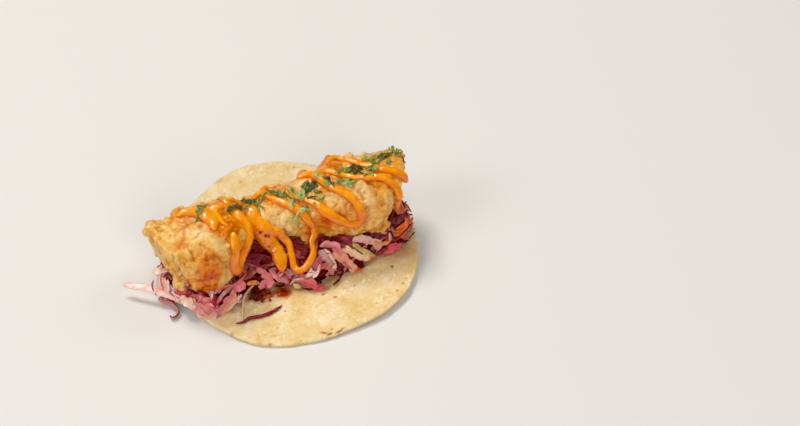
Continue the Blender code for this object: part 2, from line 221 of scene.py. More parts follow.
def ribbon(path, ups, half_width, half_thick, sides=8, cup=0.0, boxy=0.7, slant=(0.0, 0.0)):
    """A closed strip along a path: its points, faces, and each point's place across and along.

    half_width is one number or row, or a pair of rows for the two edges. slant cuts each end askew.
    """
    ways = unit(np.gradient(path, axis=0))
    side = unit(np.cross(ways, ups))
    up = np.cross(side, ways)
    angle = 2 * np.pi * (np.arange(sides) + 0.5) / sides
    across = (np.sign(np.cos(angle)) * np.abs(np.cos(angle)) ** boxy)[None, :, None]
    over = (np.sign(np.sin(angle)) * np.abs(np.sin(angle)) ** boxy)[None, :, None]
    near, far = half_width if isinstance(half_width, tuple) else (half_width, half_width)
    near, far, half_thick = (np.broadcast_to(w, len(path))[:, None, None] for w in (near, far, half_thick))
    wide = np.where(across < 0, near, far)
    along = np.linspace(0, 1, len(path))[:, None, None]
    askew = (slant[0] * np.clip(1 - 4 * along, 0, 1) + slant[1] * np.clip(4 * along - 3, 0, 1)) * wide * across
    points = (
        path[:, None]
        + side[:, None] * wide * across
        + ways[:, None] * askew
        + up[:, None] * (half_thick * over + cup * wide * across**2)
    )
    edge = np.broadcast_to(across[:, :, 0], points.shape[:2]).ravel()
    t = np.repeat(along[:, 0, 0], sides)
    caps = [points[0].mean(0), points[-1].mean(0)]
    points = np.concatenate([points.reshape(-1, 3), caps])
    return points, tube_faces(len(path), sides), np.r_[edge, 0, 0], np.r_[t, 0, 1]


def smooth_path(knots, step):
    """Points every step along a smooth curve through the knots. Extra columns go with them."""
    knots = np.array(knots, float)
    chord = np.r_[0, np.cumsum(np.linalg.norm(np.diff(knots[:, :3], axis=0), axis=1))]
    slopes = np.gradient(knots, chord, axis=0)
    at = np.linspace(0, chord[-1], max(3, int(round(chord[-1] / step)) + 1))
    i = np.clip(np.searchsorted(chord, at, side="right") - 1, 0, len(knots) - 2)
    span = (chord[i + 1] - chord[i])[:, None]
    t = ((at - chord[i])[:, None]) / span
    return (
        (2 * t**3 - 3 * t**2 + 1) * knots[i]
        + (t**3 - 2 * t**2 + t) * span * slopes[i]
        + (3 * t**2 - 2 * t**3) * knots[i + 1]
        + (t**3 - t**2) * span * slopes[i + 1]
    )


def softened(values, times):
    """A row of values evened out along its length, times over."""
    for _ in range(times):
        values = np.concatenate([values[:1], (values[:-2] + 2 * values[1:-1] + values[2:]) / 4, values[-1:]])
    return values


def tree_of(*parts):
    """A search tree over (points, faces) pairs, in millimetres."""
    points, faces, first = [], [], 0
    for part_points, part_faces in parts:
        points += [tuple(p) for p in part_points]
        faces += [tuple(int(v) + first for v in face) for face in part_faces]
        first += len(part_points)
    return BVHTree.FromPolygons(points, faces)


def cad_mesh(name):
    """A CAD node's points, in millimetres, and its faces."""
    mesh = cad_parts[name].data
    return [v.co / MM for v in mesh.vertices], [tuple(p.vertices) for p in mesh.polygons]


def unit_ball():
    """The points and faces of a round ball of 42 points."""
    bm = bmesh.new()
    bmesh.ops.create_icosphere(bm, subdivisions=2, radius=1)
    found = [tuple(v.co) for v in bm.verts], [tuple(v.index for v in f.verts) for f in bm.faces]
    bm.free()
    return found


BALL_POINTS, BALL_FACES = unit_ball()


def ball(middle, radii, turn=None):
    """A ball stretched to radii and then turned: its points and faces."""
    points = np.array(BALL_POINTS) * np.array(radii)
    if turn is not None:
        points = points @ np.array(turn.to_quaternion().to_matrix()).T
    return points + np.array(middle), BALL_FACES


def upright(count):
    """The upward direction, as a row for each point of a path."""
    return np.tile((0.0, 0.0, 1.0), (count, 1))


def distance_to(points, targets):
    """Distance from each point to the nearest target, worked out in blocks to save memory."""
    found, block = np.empty(len(points)), 4000
    for i in range(0, len(points), block):
        part = points[i : i + block]
        square = (part**2).sum(1)[:, None] + (targets**2).sum(1)[None] - 2 * part @ targets.T
        found[i : i + block] = np.sqrt(np.maximum(square.min(1), 0))
    return found


def blobs(points, table):
    """How strongly each point lies in any of the listed soft balls: x, y, z, radius, strength."""
    total = np.zeros(len(points))
    for x, y, z, radius, strength in table:
        total += strength * np.exp(-(np.linalg.norm(points - (x, y, z), axis=1) / radius) ** 2)
    return total


# ---- Materials ----


def srgb(red, green, blue):
    """A screen colour of 0 to 255 as the linear colour that Blender uses."""
    return tuple(((c / 255 + 0.055) / 1.055) ** 2.4 if c > 10 else c / 255 / 12.92 for c in (red, green, blue))


class Finish:
    """A Principled material put together from nodes. Sizes are in millimetres."""

    def __init__(self, name, shine, glow=None, **constants):
        """shine is the strength of its highlights, from 0 to 1.

        glow is how much light enters it, how deep it goes, and how far its red, green and blue spread.
        """
        self.material = bpy.data.materials.new(name)
        self.material.use_nodes = True
        self.tree = self.material.node_tree
        self.shader = self.tree.nodes["Principled BSDF"]
        self.place = self.add("ShaderNodeTexCoord").outputs["Object"]
        constants["Specular_IOR_Level"] = shine
        if glow is not None:
            constants.update(Subsurface_Weight=glow[0], Subsurface_Scale=glow[1], Subsurface_Radius=glow[2])
        for socket, value in constants.items():
            self.shader.inputs[socket.replace("_", " ")].default_value = value

    def add(self, kind, settings=None, **inputs):
        """A node. Its inputs are given by name, or by number as _0, _1 and so on."""
        node = self.tree.nodes.new(kind)
        for key, value in (settings or {}).items():
            setattr(node, key, value)
        for key, value in inputs.items():
            socket = node.inputs[int(key[1:])] if key[0] == "_" else node.inputs[key.replace("_", " ")]
            if isinstance(value, bpy.types.NodeSocket):
                self.tree.links.new(value, socket)
            else:
                socket.default_value = value
        return node

    def noise(self, size, detail=3.0, roughness=0.55, distortion=0.0):
        return self.add(
            "ShaderNodeTexNoise", Vector=self.place, Scale=1 / (size * MM),
            Detail=detail, Roughness=roughness, Distortion=distortion,
        ).outputs["Fac"]

    def field(self, name, output="Fac"):
        return self.add("ShaderNodeAttribute", {"attribute_name": name}).outputs[output]

    def band(self, value, low, high, out_low=0.0, out_high=1.0):
        """value from low..high mapped smoothly to out_low..out_high."""
        node = self.add(
            "ShaderNodeMapRange", {"interpolation_type": "SMOOTHSTEP"}, Value=value,
            From_Min=low, From_Max=high, To_Min=out_low, To_Max=out_high,
        )
        return node.outputs["Result"]

    def plus(self, a, b, operation="ADD"):
        return self.add("ShaderNodeMath", {"operation": operation}, _0=a, _1=b).outputs[0]

    def times(self, a, b):
        return self.plus(a, b, "MULTIPLY")

    def blend(self, a, a_share, b, b_share):
        return self.plus(self.times(a, a_share), self.times(b, b_share))

    def mix(self, share, a, b, blend="MIX"):
        """Colour a turned towards colour b by share."""
        a, b = (c if isinstance(c, bpy.types.NodeSocket) else (*c, 1) for c in (a, b))
        node = self.add("ShaderNodeMix", {"data_type": "RGBA", "blend_type": blend}, _0=share, _6=a, _7=b)
        return node.outputs[2]

    def specked(self, base, spacing, spot, patch, low, high, share, colour):
        """base with specks of a colour, spacing apart, in patches where a noise rises from low to high."""
        cells = self.add("ShaderNodeTexVoronoi", Vector=self.place, Scale=1 / (spacing * MM))
        near = self.band(cells.outputs["Distance"], spot, 0.08)
        here = self.times(near, self.band(self.noise(patch, 2), low, high))
        return self.mix(self.times(here, share), base, colour)

    def ramp(self, value, *stops):
        """Colours at places from 0 to 1 along value."""
        node = self.add("ShaderNodeValToRGB", Fac=value)
        points = node.color_ramp.elements
        while len(points) < len(stops):
            points.new(0.5)
        for point, (at, colour) in zip(points, stops):
            point.position, point.color = at, (*colour, 1)
        return node.outputs["Color"]

    def bump(self, height, distance, strength):
        return self.add("ShaderNodeBump", Height=height, Distance=distance * MM, Strength=strength).outputs["Normal"]

    def set(self, **sockets):
        for key, value in sockets.items():
            self.tree.links.new(value, self.shader.inputs[key.replace("_", " ")])
        return self.material


# ---- Camera, floor and light ----

VIEW_TARGET = Vector((69.2, 8.9, 0)) * MM
VIEW_DISTANCE = 1215.9 * MM
VIEW_AZIMUTH, VIEW_ELEVATION, VIEW_ROLL = (math.radians(a) for a in (-21.0, 44.04, 1.37))
SENSOR, LENS = 36.0, 93.37

FLOOR_REACH = 4000.0
SKY_COLOUR, SKY_STRENGTH = (1.0, 0.985, 0.96, 1), 0.22
WHITE, WARM = (1, 1, 1), (1, 0.985, 0.95)
# Azimuth and elevation in degrees, distance, size, power, colour, and whether it leaves highlights.
LIGHTS = {
    "key": (-160, 59, 2.6, 0.8, 38.3, WARM, True),
    "left_fill": (-80, 38, 2.2, 0.9, 11.5, WHITE, True),
    "front_fill": (-5, 34, 2.2, 1.2, 17.8, WHITE, False),
    "right_fill": (100, 40, 2.4, 1.2, 8.0, WHITE, False),
}


def outward(azimuth, elevation):
    """The direction from the taco, at angles in radians, with azimuth 0 in front."""
    flat = math.cos(elevation)
    return Vector((math.sin(azimuth) * flat, -math.cos(azimuth) * flat, math.sin(elevation)))


def place_camera():
    data = bpy.data.cameras.new("camera")
    data.sensor_width, data.lens = SENSOR, LENS
    camera = bpy.data.objects.new("camera", data)
    bpy.context.scene.collection.objects.link(camera)
    back = outward(VIEW_AZIMUTH, VIEW_ELEVATION)
    right = Vector((0, 0, 1)).cross(back).normalized()
    up = back.cross(right)
    c, s = math.cos(VIEW_ROLL), math.sin(VIEW_ROLL)
    right, up = c * right + s * up, c * up - s * right
    turn = Matrix((right, up, back)).transposed().to_4x4()
    camera.matrix_world = Matrix.Translation(VIEW_TARGET + back * VIEW_DISTANCE) @ turn
    bpy.context.scene.camera = camera


def add_light(name, azimuth, elevation, distance, size, power, colour, mirrored):
    """A square soft light aimed at the taco. One that is not mirrored leaves no highlights."""
    data = bpy.data.lights.new(name, "AREA")
    data.shape, data.size, data.energy, data.color = "SQUARE", size, power, colour
    light = bpy.data.objects.new(name, data)
    out = outward(math.radians(azimuth), math.radians(elevation))
    light.location = out * distance
    light.rotation_euler = out.to_track_quat("Z", "Y").to_euler()
    light.visible_glossy = mirrored
    bpy.context.scene.collection.objects.link(light)


def build_studio():
    """A plain floor, a dim even sky and four soft lights."""
    corners = [(x * FLOOR_REACH, y * FLOOR_REACH, 0) for x, y in ((-1, -1), (1, -1), (1, 1), (-1, 1))]
    floor = add_mesh("floor", corners, [(0, 1, 2, 3)])
    finish = Finish("floor", 0.2, Roughness=0.6, Base_Color=(*srgb(225, 222, 217), 1))
    floor.data.materials.append(finish.material)
    world = bpy.data.worlds.new("studio")
    bpy.context.scene.world = world
    world.use_nodes = True
    sky = world.node_tree.nodes["Background"]
    sky.inputs["Color"].default_value = SKY_COLOUR
    sky.inputs["Strength"].default_value = SKY_STRENGTH
    world.cycles_visibility.glossy = False
    for name, light in LIGHTS.items():
        add_light(name, *light)
    bpy.context.scene.view_settings.view_transform = "Standard"


# ---- Tortilla ----
# The same outline and lift as the CAD tortilla, with its small bumps and its uneven rim added.

TORTILLA_RADIUS, TORTILLA_FLAT_RADIUS, TORTILLA_THICKNESS = 75.0, 50.0, 2.2
EDGE_THICKNESS, EDGE_ROUND = TORTILLA_THICKNESS - 0.35, 0.75
TORTILLA_TOP = TORTILLA_THICKNESS - 0.12
TORTILLA_SEGMENTS, TORTILLA_RINGS = 560, 118
UNDER_RINGS = (0.02, 0.15, 0.3, 0.45, 0.6, 0.7, 0.8, 0.88, 0.94, 0.98)
TORTILLA_RIM = (72, 71, 70, 71, 74, 75, 71, 70, 71, 72, 72, 74, 76, 73.5, 72, 74, 74, 72)
RAISED_SIDE, RAISED_LIFT = math.radians(-22), 3.4
PRESSED_SIDE, PRESSED_SPREAD = math.radians(180), math.radians(38)
WAVE_COUNT, WAVE_LIFT = 5, 0.9

# Toasted flecks: x, y, half length, half width, direction in degrees, how dark.
TOAST = (
    (5, -41, 1.3, 0.8, 20, 1.0), (11, -45, 1.6, 0.8, -10, 0.8), (49, -33, 1.3, 1.0, 50, 0.8),
    (-19, -46, 1.0, 0.8, 0, 0.7), (-4, -69, 1.6, 0.6, -35, 1.0), (-1, -71, 1.8, 0.7, 15, 0.9),
    (4, -71, 2.4, 0.7, 12, 0.9), (1, -68, 0.9, 0.6, 60, 0.9), (7, -70, 1.2, 0.6, 10, 0.7),
    (50, -49, 0.9, 0.8, 0, 0.7), (45, -53, 1.0, 0.8, 0, 0.7), (53, -46, 0.8, 0.6, 0, 0.6),
    (-34, -67, 1.2, 0.6, 10, 0.5), (-12, 62, 1.1, 0.8, 0, 0.4), (22, 64, 1.0, 0.7, 30, 0.5),
    (-44, 42, 1.2, 0.8, 0, 0.5), (12, 49, 1.4, 0.7, 70, 0.4), (47, 40, 1.5, 0.9, 20, 0.6),
    (31, -58, 0.9, 0.6, 0, 0.5), (-27, -57, 0.8, 0.6, 0, 0.4), (24, -40, 0.9, 0.7, 0, 0.5),
)
# Pools of oil from the sauce: x, y, half length, half width, direction, strength.
OIL = ((-28, -29.5, 6.5, 5.6, -12, 1.0), (-23, -31, 4.0, 3.0, 0, 0.8), (-20, -30, 2.4, 1.6, 10, 0.6))
OIL_DROP = ((-15.8, -32.2, 5.2, 5.0, -8, 1.0),)
BURNT_SPOT = ((-14.8, -31.2, 1.8, 1.5, 0, 0.8),)
# Painted shadow that the right goujon casts on the tortilla to the right of the slaw: x, y, half length, half width.
PAINTED_SHADOW_PATCH = (57, -25, 14, 7)


def rim_radius(angle):
    """The outline: a smooth closed curve through the radii of TORTILLA_RIM, evenly spaced round it."""
    count = len(TORTILLA_RIM)
    rim = np.array(TORTILLA_RIM, float)
    at = (angle / (2 * np.pi) * count) % count
    i = at.astype(int)
    t = at - i
    before, here, after, beyond = (rim[(i + k) % count] for k in (-1, 0, 1, 2))
    rise, bend = after - before, 2 * before - 5 * here + 4 * after - beyond
    return here + 0.5 * t * (rise + t * (bend + t * (3 * (here - after) + beyond - before)))


def turned_from(angle, side):
    """How far an angle is from a side, whichever way round is shorter."""
    return np.abs((angle - side + np.pi) % (2 * np.pi) - np.pi)


def tortilla_lift(x, y):
    """How high the tortilla's underside stands off the plate."""
    beyond = np.clip((np.hypot(x, y) - TORTILLA_FLAT_RADIUS) / (TORTILLA_RADIUS - TORTILLA_FLAT_RADIUS), 0, 1)
    angle = np.arctan2(y, x)
    raised = np.maximum(0.0, np.cos(turned_from(angle, RAISED_SIDE))) ** 2
    edge = RAISED_LIFT * raised + WAVE_LIFT * (1 + np.cos(WAVE_COUNT * angle)) / 2
    pressed = np.exp(-((turned_from(angle, PRESSED_SIDE) / PRESSED_SPREAD) ** 2))
    return edge * (1 - pressed) * beyond**2


def spots(points, table, rough=1.0):
    """How strongly each point lies in any of the listed ellipses, with ragged borders."""
    total = np.zeros(len(points))
    ragged = rough * layered(points, (0.35, 1.6, 71), (0.25, 4.0, 72))
    for x, y, long, wide, turn, strength in table:
        c, s = math.cos(math.radians(turn)), math.sin(math.radians(turn))
        dx, dy = points[:, 0] - x, points[:, 1] - y
        away = np.hypot((dx * c + dy * s) / long, (dy * c - dx * s) / wide)
        total = np.maximum(total, strength * smoothstep(1.25, 0.6, away + ragged))
    return total


def tortilla_finish():
    f = Finish("tortilla", 0.2, (0.12, 0.002, (1.0, 0.6, 0.3)))
    mottle = f.blend(f.noise(17, 3, 0.5, 0.4), 0.6, f.noise(5.5, 3, 0.6, 0.2), 0.4)
    base = f.ramp(
        mottle, (0.36, srgb(220, 184, 114)), (0.47, srgb(231, 203, 142)),
        (0.56, srgb(237, 212, 161)), (0.66, srgb(245, 228, 190)),
    )
    base = f.mix(f.band(f.noise(0.9, 2, 0.6), 0.42, 0.7, 0.0, 0.30), base, srgb(218, 178, 110))
    pale = f.times(f.band(f.noise(2.6, 3, 0.6), 0.52, 0.66), f.band(f.noise(14, 2), 0.45, 0.6))
    base = f.mix(f.times(pale, 0.7), base, srgb(255, 246, 222))
    # Juice from the slaw in a warm brown: partly a real stain, partly painted shade and shadow on the tortilla.
    base = f.mix(f.field("juice"), base, srgb(176, 104, 58))
    base = f.specked(base, 2.6, 0.20, 9, 0.52, 0.66, 0.45, srgb(196, 132, 62))
    base = f.mix(f.field("toast"), base, srgb(156, 78, 18))
    oily = f.ramp(f.noise(2.2, 3, 0.6), (0.35, srgb(138, 32, 0)), (0.5, srgb(178, 56, 0)), (0.66, srgb(212, 98, 12)))
    base = f.mix(f.field("oil"), base, oily)
    base = f.mix(f.field("char"), base, srgb(58, 6, 2))
    rough = f.band(f.plus(f.noise(3.0, 3), f.times(f.field("oil"), -0.6)), 0.0, 0.8, 0.22, 0.62)
    height = f.blend(f.noise(0.55, 3, 0.65), 0.5, f.noise(1.6, 2), 0.8)
    return f.set(Base_Color=base, Roughness=rough, Normal=f.bump(height, 0.22, 0.55))


def build_tortilla(material):
    angle = 2 * np.pi * np.arange(TORTILLA_SEGMENTS) / TORTILLA_SEGMENTS
    way = np.stack([np.cos(angle), np.sin(angle), 0 * angle], 1)
    reach = rim_radius(angle) + layered(way * TORTILLA_RADIUS, (0.25, 3.0, 5), (0.35, 9.0, 6))

    def ring(share, height, inset=0.0):
        points = way * (share * reach - inset)[:, None]
        points[:, 2] = height + tortilla_lift(points[:, 0], points[:, 1])
        return points

    rows = [ring(share, 0.0) for share in UNDER_RINGS]
    for turn in np.radians(np.linspace(-80, 80, 7)):
        rows.append(ring(1, 0.5 * EDGE_THICKNESS * (1 + math.sin(turn)), EDGE_ROUND * (1 - math.cos(turn))))
    rows += [ring(share, TORTILLA_TOP) for share in np.linspace(0.985, 0.01, TORTILLA_RINGS)]
    points = np.concatenate(rows + [[(0, 0, 0), (0, 0, TORTILLA_THICKNESS)]])
    x, y = points[:, 0], points[:, 1]
    top = smoothstep(0.6, 1.6, points[:, 2] - tortilla_lift(x, y))
    puff = layered(points, (0.20, 8.0, 1), (0.14, 3.6, 2), (0.07, 1.7, 3))
    dome, _ = blisters(points, 6.0, 4)
    puff += 0.22 * smoothstep(0.45, 0.05, dome) * smoothstep(0.1, 0.5, noise(points, 15, 8))
    points[:, 2] += top * puff
    browned = smoothstep(66, 73, np.hypot(x, y)) * smoothstep(0.35, 0.8, noise(points, 4.0, 9))
    toast = np.maximum(spots(points, TOAST), 0.35 * browned)
    oil = np.maximum(spots(points, OIL), spots(points, OIL_DROP, 0.35))
    char = oil * smoothstep(0.0, 0.4, noise(points, 2.4, 10)) * smoothstep(-21, -23, x)
    char = np.maximum(char, spots(points, BURNT_SPOT, 0.5))
    points[:, 2] += 0.35 * top * spots(points, OIL_DROP, 0.2)
    from_slaw = distance_to(points, np.array([(*spot, TORTILLA_THICKNESS) for spot in CLOSE_RIM]))
    # A juice stain round the front of the slaw, its darkening partly painted shade next to the heap.
    juice = 0.6 * smoothstep(4.0, 0.5, from_slaw + 2.2 * noise(points, 5.0, 11)) * (y < 0)
    # The painted shadow patch, in the same warm brown as the juice.
    shadow_x, shadow_y, long, wide = PAINTED_SHADOW_PATCH
    juice = np.maximum(juice, 0.62 * smoothstep(1.3, 0.2, np.hypot((x - shadow_x) / long, (y - shadow_y) / wide)))
    piece = add_piece(
        "tortilla_round", points, tube_faces(len(rows), TORTILLA_SEGMENTS), material, "tortilla",
        toast=toast, oil=oil, char=char, juice=juice,
    )
    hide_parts("tortilla")


# ---- Sauce runs ----

SAUCE_STEP, SAUCE_VOXEL = 0.9, 0.42
# The same runs as the CAD's. Each is a line of (x, y, z, half width).
SAUCE_RUNS = {
    "sauce_blob": (
        (-65, 6, 42, 0.8), (-60, 6, 43, 2.4), (-54, 6, 43, 3.3), (-49, 2, 45, 3.8),
        (-47, -5, 46, 3.7), (-48, -11, 46, 2.7), (-48.5, -15.5, 44.5, 0.9),
    ),
    "sauce_smear": ((-46, 1, 45, 2.0), (-44, -4, 45.5, 2.2), (-43, -9, 45.5, 1.5), (-40.5, -14, 44, 0.6)),
    "sauce_left_loop": (
        (-38.6, -17, 43.5, 1.6), (-39, -21, 40.5, 2.6), (-40.5, -24.5, 35, 2.8), (-41.8, -26, 28, 3.0),
        (-40.8, -26, 23, 3.1), (-37.4, -25.4, 20.5, 2.8), (-34.2, -23, 24, 2.3), (-32.5, -20, 29, 2.7),
        (-31.7, -17, 33, 3.2), (-31.7, -12, 38, 3.0), (-33.3, -5, 42, 2.6), (-35, 1, 43.5, 2.1),
        (-38, 7, 44, 1.4),
    ),
    "sauce_middle_drip": (
        (-22, 11, 39, 2.2), (-23, 4, 39, 3.2), (-23.5, -3, 38, 3.9), (-23, -9, 36, 4.6),
        (-21, -14, 31, 4.7), (-17.5, -17, 26, 4.2), (-14.5, -20, 22, 3.9), (-14, -24, 18, 3.6),
        (-14, -27, 13, 1.8),
    ),
    "sauce_middle_loop": (
        (-12, -14, 31, 2.6), (-9, -17, 27, 2.3), (-8, -20, 23, 2.0), (-7, -24, 18, 1.9),
        (-7, -27, 14, 2.1), (-5, -29, 12.5, 2.4), (-1, -28, 13.5, 2.4), (2.5, -27, 17, 2.4),
        (6.5, -23, 21, 2.2), (7.5, -18, 26, 1.8), (7.5, -15, 31, 1.6), (5, -13, 36, 2.4), (2, -9, 40, 2.6),
        (-3, -4, 41, 2.4), (-7, 1, 41, 2.2), (-11, 7, 41, 2.1), (-13, 13, 39, 1.9),
        (-9, 17, 37, 1.7), (-4, 15, 39, 1.4),
    ),
    "sauce_long_loop": (
        (8, 14, 42, 1.6), (14, 12, 45, 2.0), (18, 5, 47, 2.1), (20, -2, 48, 2.0),
        (24, -8, 48, 2.1), (29, -13, 47, 2.3), (33, -18, 43, 2.4), (35, -21, 37, 2.5),
        (34, -22, 31, 2.4), (30, -22, 29.5, 2.3), (26, -21, 32, 2.4), (21, -19, 36, 2.6),
        (16, -15, 40, 2.6), (11, -10, 43, 2.2), (6, -4, 43, 1.7), (1, 1, 43, 1.5),
        (-2, 6, 43, 1.2),
    ),
    "sauce_back_loop": (
        (26, 12, 49, 1.5), (28, 15, 49, 1.7), (33, 17, 49, 1.7), (38, 12, 50, 1.7),
        (43, 4, 51, 1.7), (48, 0, 52, 1.8), (53, -3, 52, 2.0), (58, -6, 51, 2.2),
        (63, -9, 49, 2.3), (67, -10, 45, 2.2), (68.5, -10, 40, 1.2),
    ),
    "sauce_corner_drip": (
        (22, 8, 48, 1.4), (26, 5, 50, 1.7), (32, -1, 51, 1.7), (38, -6, 51, 1.6),
        (44, -9, 51, 1.7), (49, -9, 51, 2.0), (54, -13, 49, 2.2), (58, -16, 45, 2.3),
        (60, -18, 40, 2.2), (60, -18, 34, 1.8), (59.5, -18, 28, 0.7),
    ),
}
# Little pits with red spice in them: x, y, z, radius, strength.
SAUCE_FLECKS = (
    (-22.6, -13.5, 34, 1.2, 1.0), (-20.2, -16.5, 32.5, 1.4, 1.0), (-17.2, -16.5, 31.5, 1.2, 0.9),
    (-19.5, -20, 26.5, 1.4, 0.7), (17, -18, 38, 1.6, 1.0), (14, -14, 42, 0.8, 0.7), (7, -16, 33, 0.7, 0.6),
    (-38, -4, 47, 0.8, 0.8), (46, -9, 53, 1.0, 0.7), (-11, 1, 43, 0.8, 0.6), (52, -3, 54, 0.9, 0.7),
    (-35, 2, 46, 0.8, 0.7), (-24, -3, 40, 0.7, 0.6),
)
# Where the sauce dried in wrinkles: x, y, z, radius, strength.
SAUCE_LIVELY = (
    (-21, -13, 33, 9, 1.0), (-16, -20, 24, 5, 0.6), (-23, 2, 40, 7, 0.6), (-50, 0, 46, 8, 0.5), (33, -20, 38, 6, 0.5),
)
# Where one run flows into another, which the CAD leaves as a gap.
SAUCE_JOINS = (
    ((-22, -7, 36.5, 2.6), (-18, -10.5, 34, 2.9), (-14, -13, 31.5, 2.8), (-10, -16.5, 28, 2.2)),
    ((-59, 5, 43.5, 2.4), (-54, 2, 45, 3.6), (-50, -3, 46, 3.8), (-48.5, -9, 46, 2.8)),
    ((-47, 0, 46, 2.4), (-43, 1, 46, 2.6), (-40, 0, 45, 2.0), (-35, 2, 44, 2.0)),
    ((-36, 6, 44, 1.6), (-29, 8, 40, 1.8), (-22, 9, 39, 2.2)),
    ((-24, 8, 39, 2.0), (-20, 9, 39.5, 1.8), (-16, 12, 39, 1.6), (-11, 13, 39, 1.6)),
)
SAUCE_LINE = np.concatenate([smooth_path(run, 1.5) for run in SAUCE_RUNS.values()])


# ---- Fish ----

BATTER_VOXEL, CRUMB_COUNT = 0.52, 90
# Oil stains stronger than this are orange, and the others golden.
ORANGE_STAIN = 1.1
# Ragged bits of batter fused into the crust: x, y, z, then the half sizes along x, y and z.
LEFT_BITS = (
    (-81, 5, 37, 4.0, 3.4, 4.2), (-80, 2, 33, 2.6, 2.6, 3.0), (-76, -8, 33, 2.4, 2.6, 3.0),
    (-75, -14, 24, 2.0, 2.6, 3.4), (-36, -16, 36, 3.2, 3.0, 3.2), (-72, -18, 18, 2.4, 2.6, 8.0),
    (-70, -21, 14, 2.4, 2.4, 5.0), (-36, 8, 42, 3.4, 3.4, 3.0), (-63, 9, 41.5, 4.6, 3.4, 2.4),
    (-50, 9, 42.5, 4.6, 3.4, 2.2), (-43, 9, 43, 3.4, 3.0, 2.6), (-78, -3, 39, 2.6, 2.2, 2.0),
    (-74, -15, 33, 1.6, 1.8, 2.4), (-71, -21, 25, 2.2, 2.0, 3.4), (-37, -20, 33, 2.4, 2.2, 3.0),
)
RIGHT_BITS = (
    (49.2, -20.2, 22.4, 2.7, 1.8, 2.3), (48.8, -20, 25.4, 1.8, 1.6, 1.9), (47.4, -19.8, 20.2, 1.9, 1.7, 1.7),
    (50.4, -20, 23.6, 1.4, 1.3, 1.3), (44.4, -20, 19.4, 1.6, 1.6, 1.7), (41.2, -19.8, 19.4, 2.0, 1.6, 1.4),
    (34.6, -18.4, 17.2, 1.9, 1.7, 1.8), (31.4, -17.3, 16.0, 1.5, 1.6, 3.0), (29.2, -17.2, 16.6, 1.7, 1.6, 1.8),
    (-3, -14.2, 22.6, 3.6, 2.4, 2.6), (4, -15.6, 24, 3.8, 2.6, 3.2), (-14, -13, 20, 3.0, 2.4, 2.8),
    (3.5, -16.4, 21.4, 2.4, 1.8, 1.8), (8.6, -16, 25, 2.4, 2.2, 2.2), (30, 17, 46, 4.6, 3.4, 3.2),
    (40, 17, 46, 3.0, 3.0, 2.6), (12, 15, 42, 3.6, 2.6, 2.2), (30, 11, 49, 4.0, 3.0, 2.0),
)
# Where oil has soaked in: x, y, z, radius, strength. Then where the batter is paler: partly its own pale crust, and
# on the right goujon partly painted light where the crust is in shade, as at (-9, -14, 26).
LEFT_STAINS = (
    (-57, -30, 38, 6.5, 1.0), (-56, -31, 30, 7.5, 1.3), (-60, -30, 21, 7.5, 1.3), (-58, -30, 12, 8, 1.3),
    (-37, -8, 44, 7, 1.0), (-43, -14, 44, 6, 0.8), (-38, -16, 40, 5, 0.7), (-55, -2, 45, 7, 0.5),
    (-68.5, -16, 41.5, 3.2, 1.0), (-72, -13, 42, 2.4, 0.4),
)
LEFT_PALE = (
    (-48, -30, 28, 6, 1.0), (-48, -28, 20, 6, 0.8), (-50, -24, 42, 5, 1.1), (-60, -12, 45, 6, 0.6),
    (-68, -22, 30, 4, 0.5), (-54, -15, 46, 4, 0.8), (-74, -8, 40, 5, 0.3),
)
RIGHT_STAINS = (
    (2, -14, 30, 6, 0.5), (12, -15, 28, 6, 0.9), (16, -15, 36, 5, 0.9), (-22, -2, 38, 8, 0.6), (27, 16, 47, 8, 0.5),
    (62, 8, 47, 9, 0.5), (28, -15, 38.5, 4.5, 1.2), (16, -17, 34, 4.5, 1.2), (46, -12, 48, 4, 0.8),
    (20, 4, 46, 8, 0.4), (-2, 8, 41, 9, 0.5), (57, -17, 30, 5, 0.4), (47, -20, 22, 8, 0.35), (23, -19, 24, 5, 0.8),
    (46, -19, 38, 5, 0.4), (14, -6, 45, 5, 0.3),
)
RIGHT_PALE_AND_PAINTED_LIGHT = (
    (36, -13, 47, 7, 1.1), (38, -18, 42, 5, 0.6), (-9, -8, 37, 6, 1.0), (-9, -14, 26, 6, 0.9),
    (-2, -12, 32, 5, 0.6), (10, 2, 44, 5, 0.8), (21, -11, 45, 5, 0.9), (-12, -10, 33, 5, 0.6),
    (50, -16, 40, 5, 0.3), (43, -19, 26, 6, 0.5), (-14, -5, 39, 4, 0.6),
)
# Ridges and valleys of the batter: points along the line, half width, height.
LEFT_FOLDS = (
    (((-74, -18, 36), (-72, -21, 30), (-69, -22, 20), (-67, -25, 13)), 1.5, -2.2),
    (((-72, -19, 38), (-69, -24, 30), (-66, -27, 20), (-64, -29, 13)), 2.4, 1.5),
    (((-66, -18, 43), (-65, -23, 40), (-64, -27, 35)), 0.9, -1.3),
    (((-70, -14, 44), (-64, -17, 44), (-60, -21, 43)), 2.2, 1.2),
    (((-58, -12, 46), (-52, -20, 45), (-47, -25, 41), (-45, -28, 36)), 2.4, 1.5),
    (((-60, -20, 44), (-54, -26, 42), (-50, -29, 38)), 1.4, -1.0),
    (((-52, -31, 36), (-51, -32, 26), (-52, -31, 16)), 1.6, 0.9),
    (((-47, -27, 36), (-46, -28, 27), (-47, -27, 18)), 1.3, -0.9),
    (((-80, -4, 38), (-76, -10, 38), (-74, -15, 37)), 1.4, 0.9),
    (((-77, 2, 41), (-73, -5, 43), (-70, -10, 44)), 1.3, -1.0), (((-76, -12, 30), (-75, -14, 22)), 1.2, -1.0),
    (((-42, -20, 42), (-41, -24, 36)), 1.2, -0.9),
)
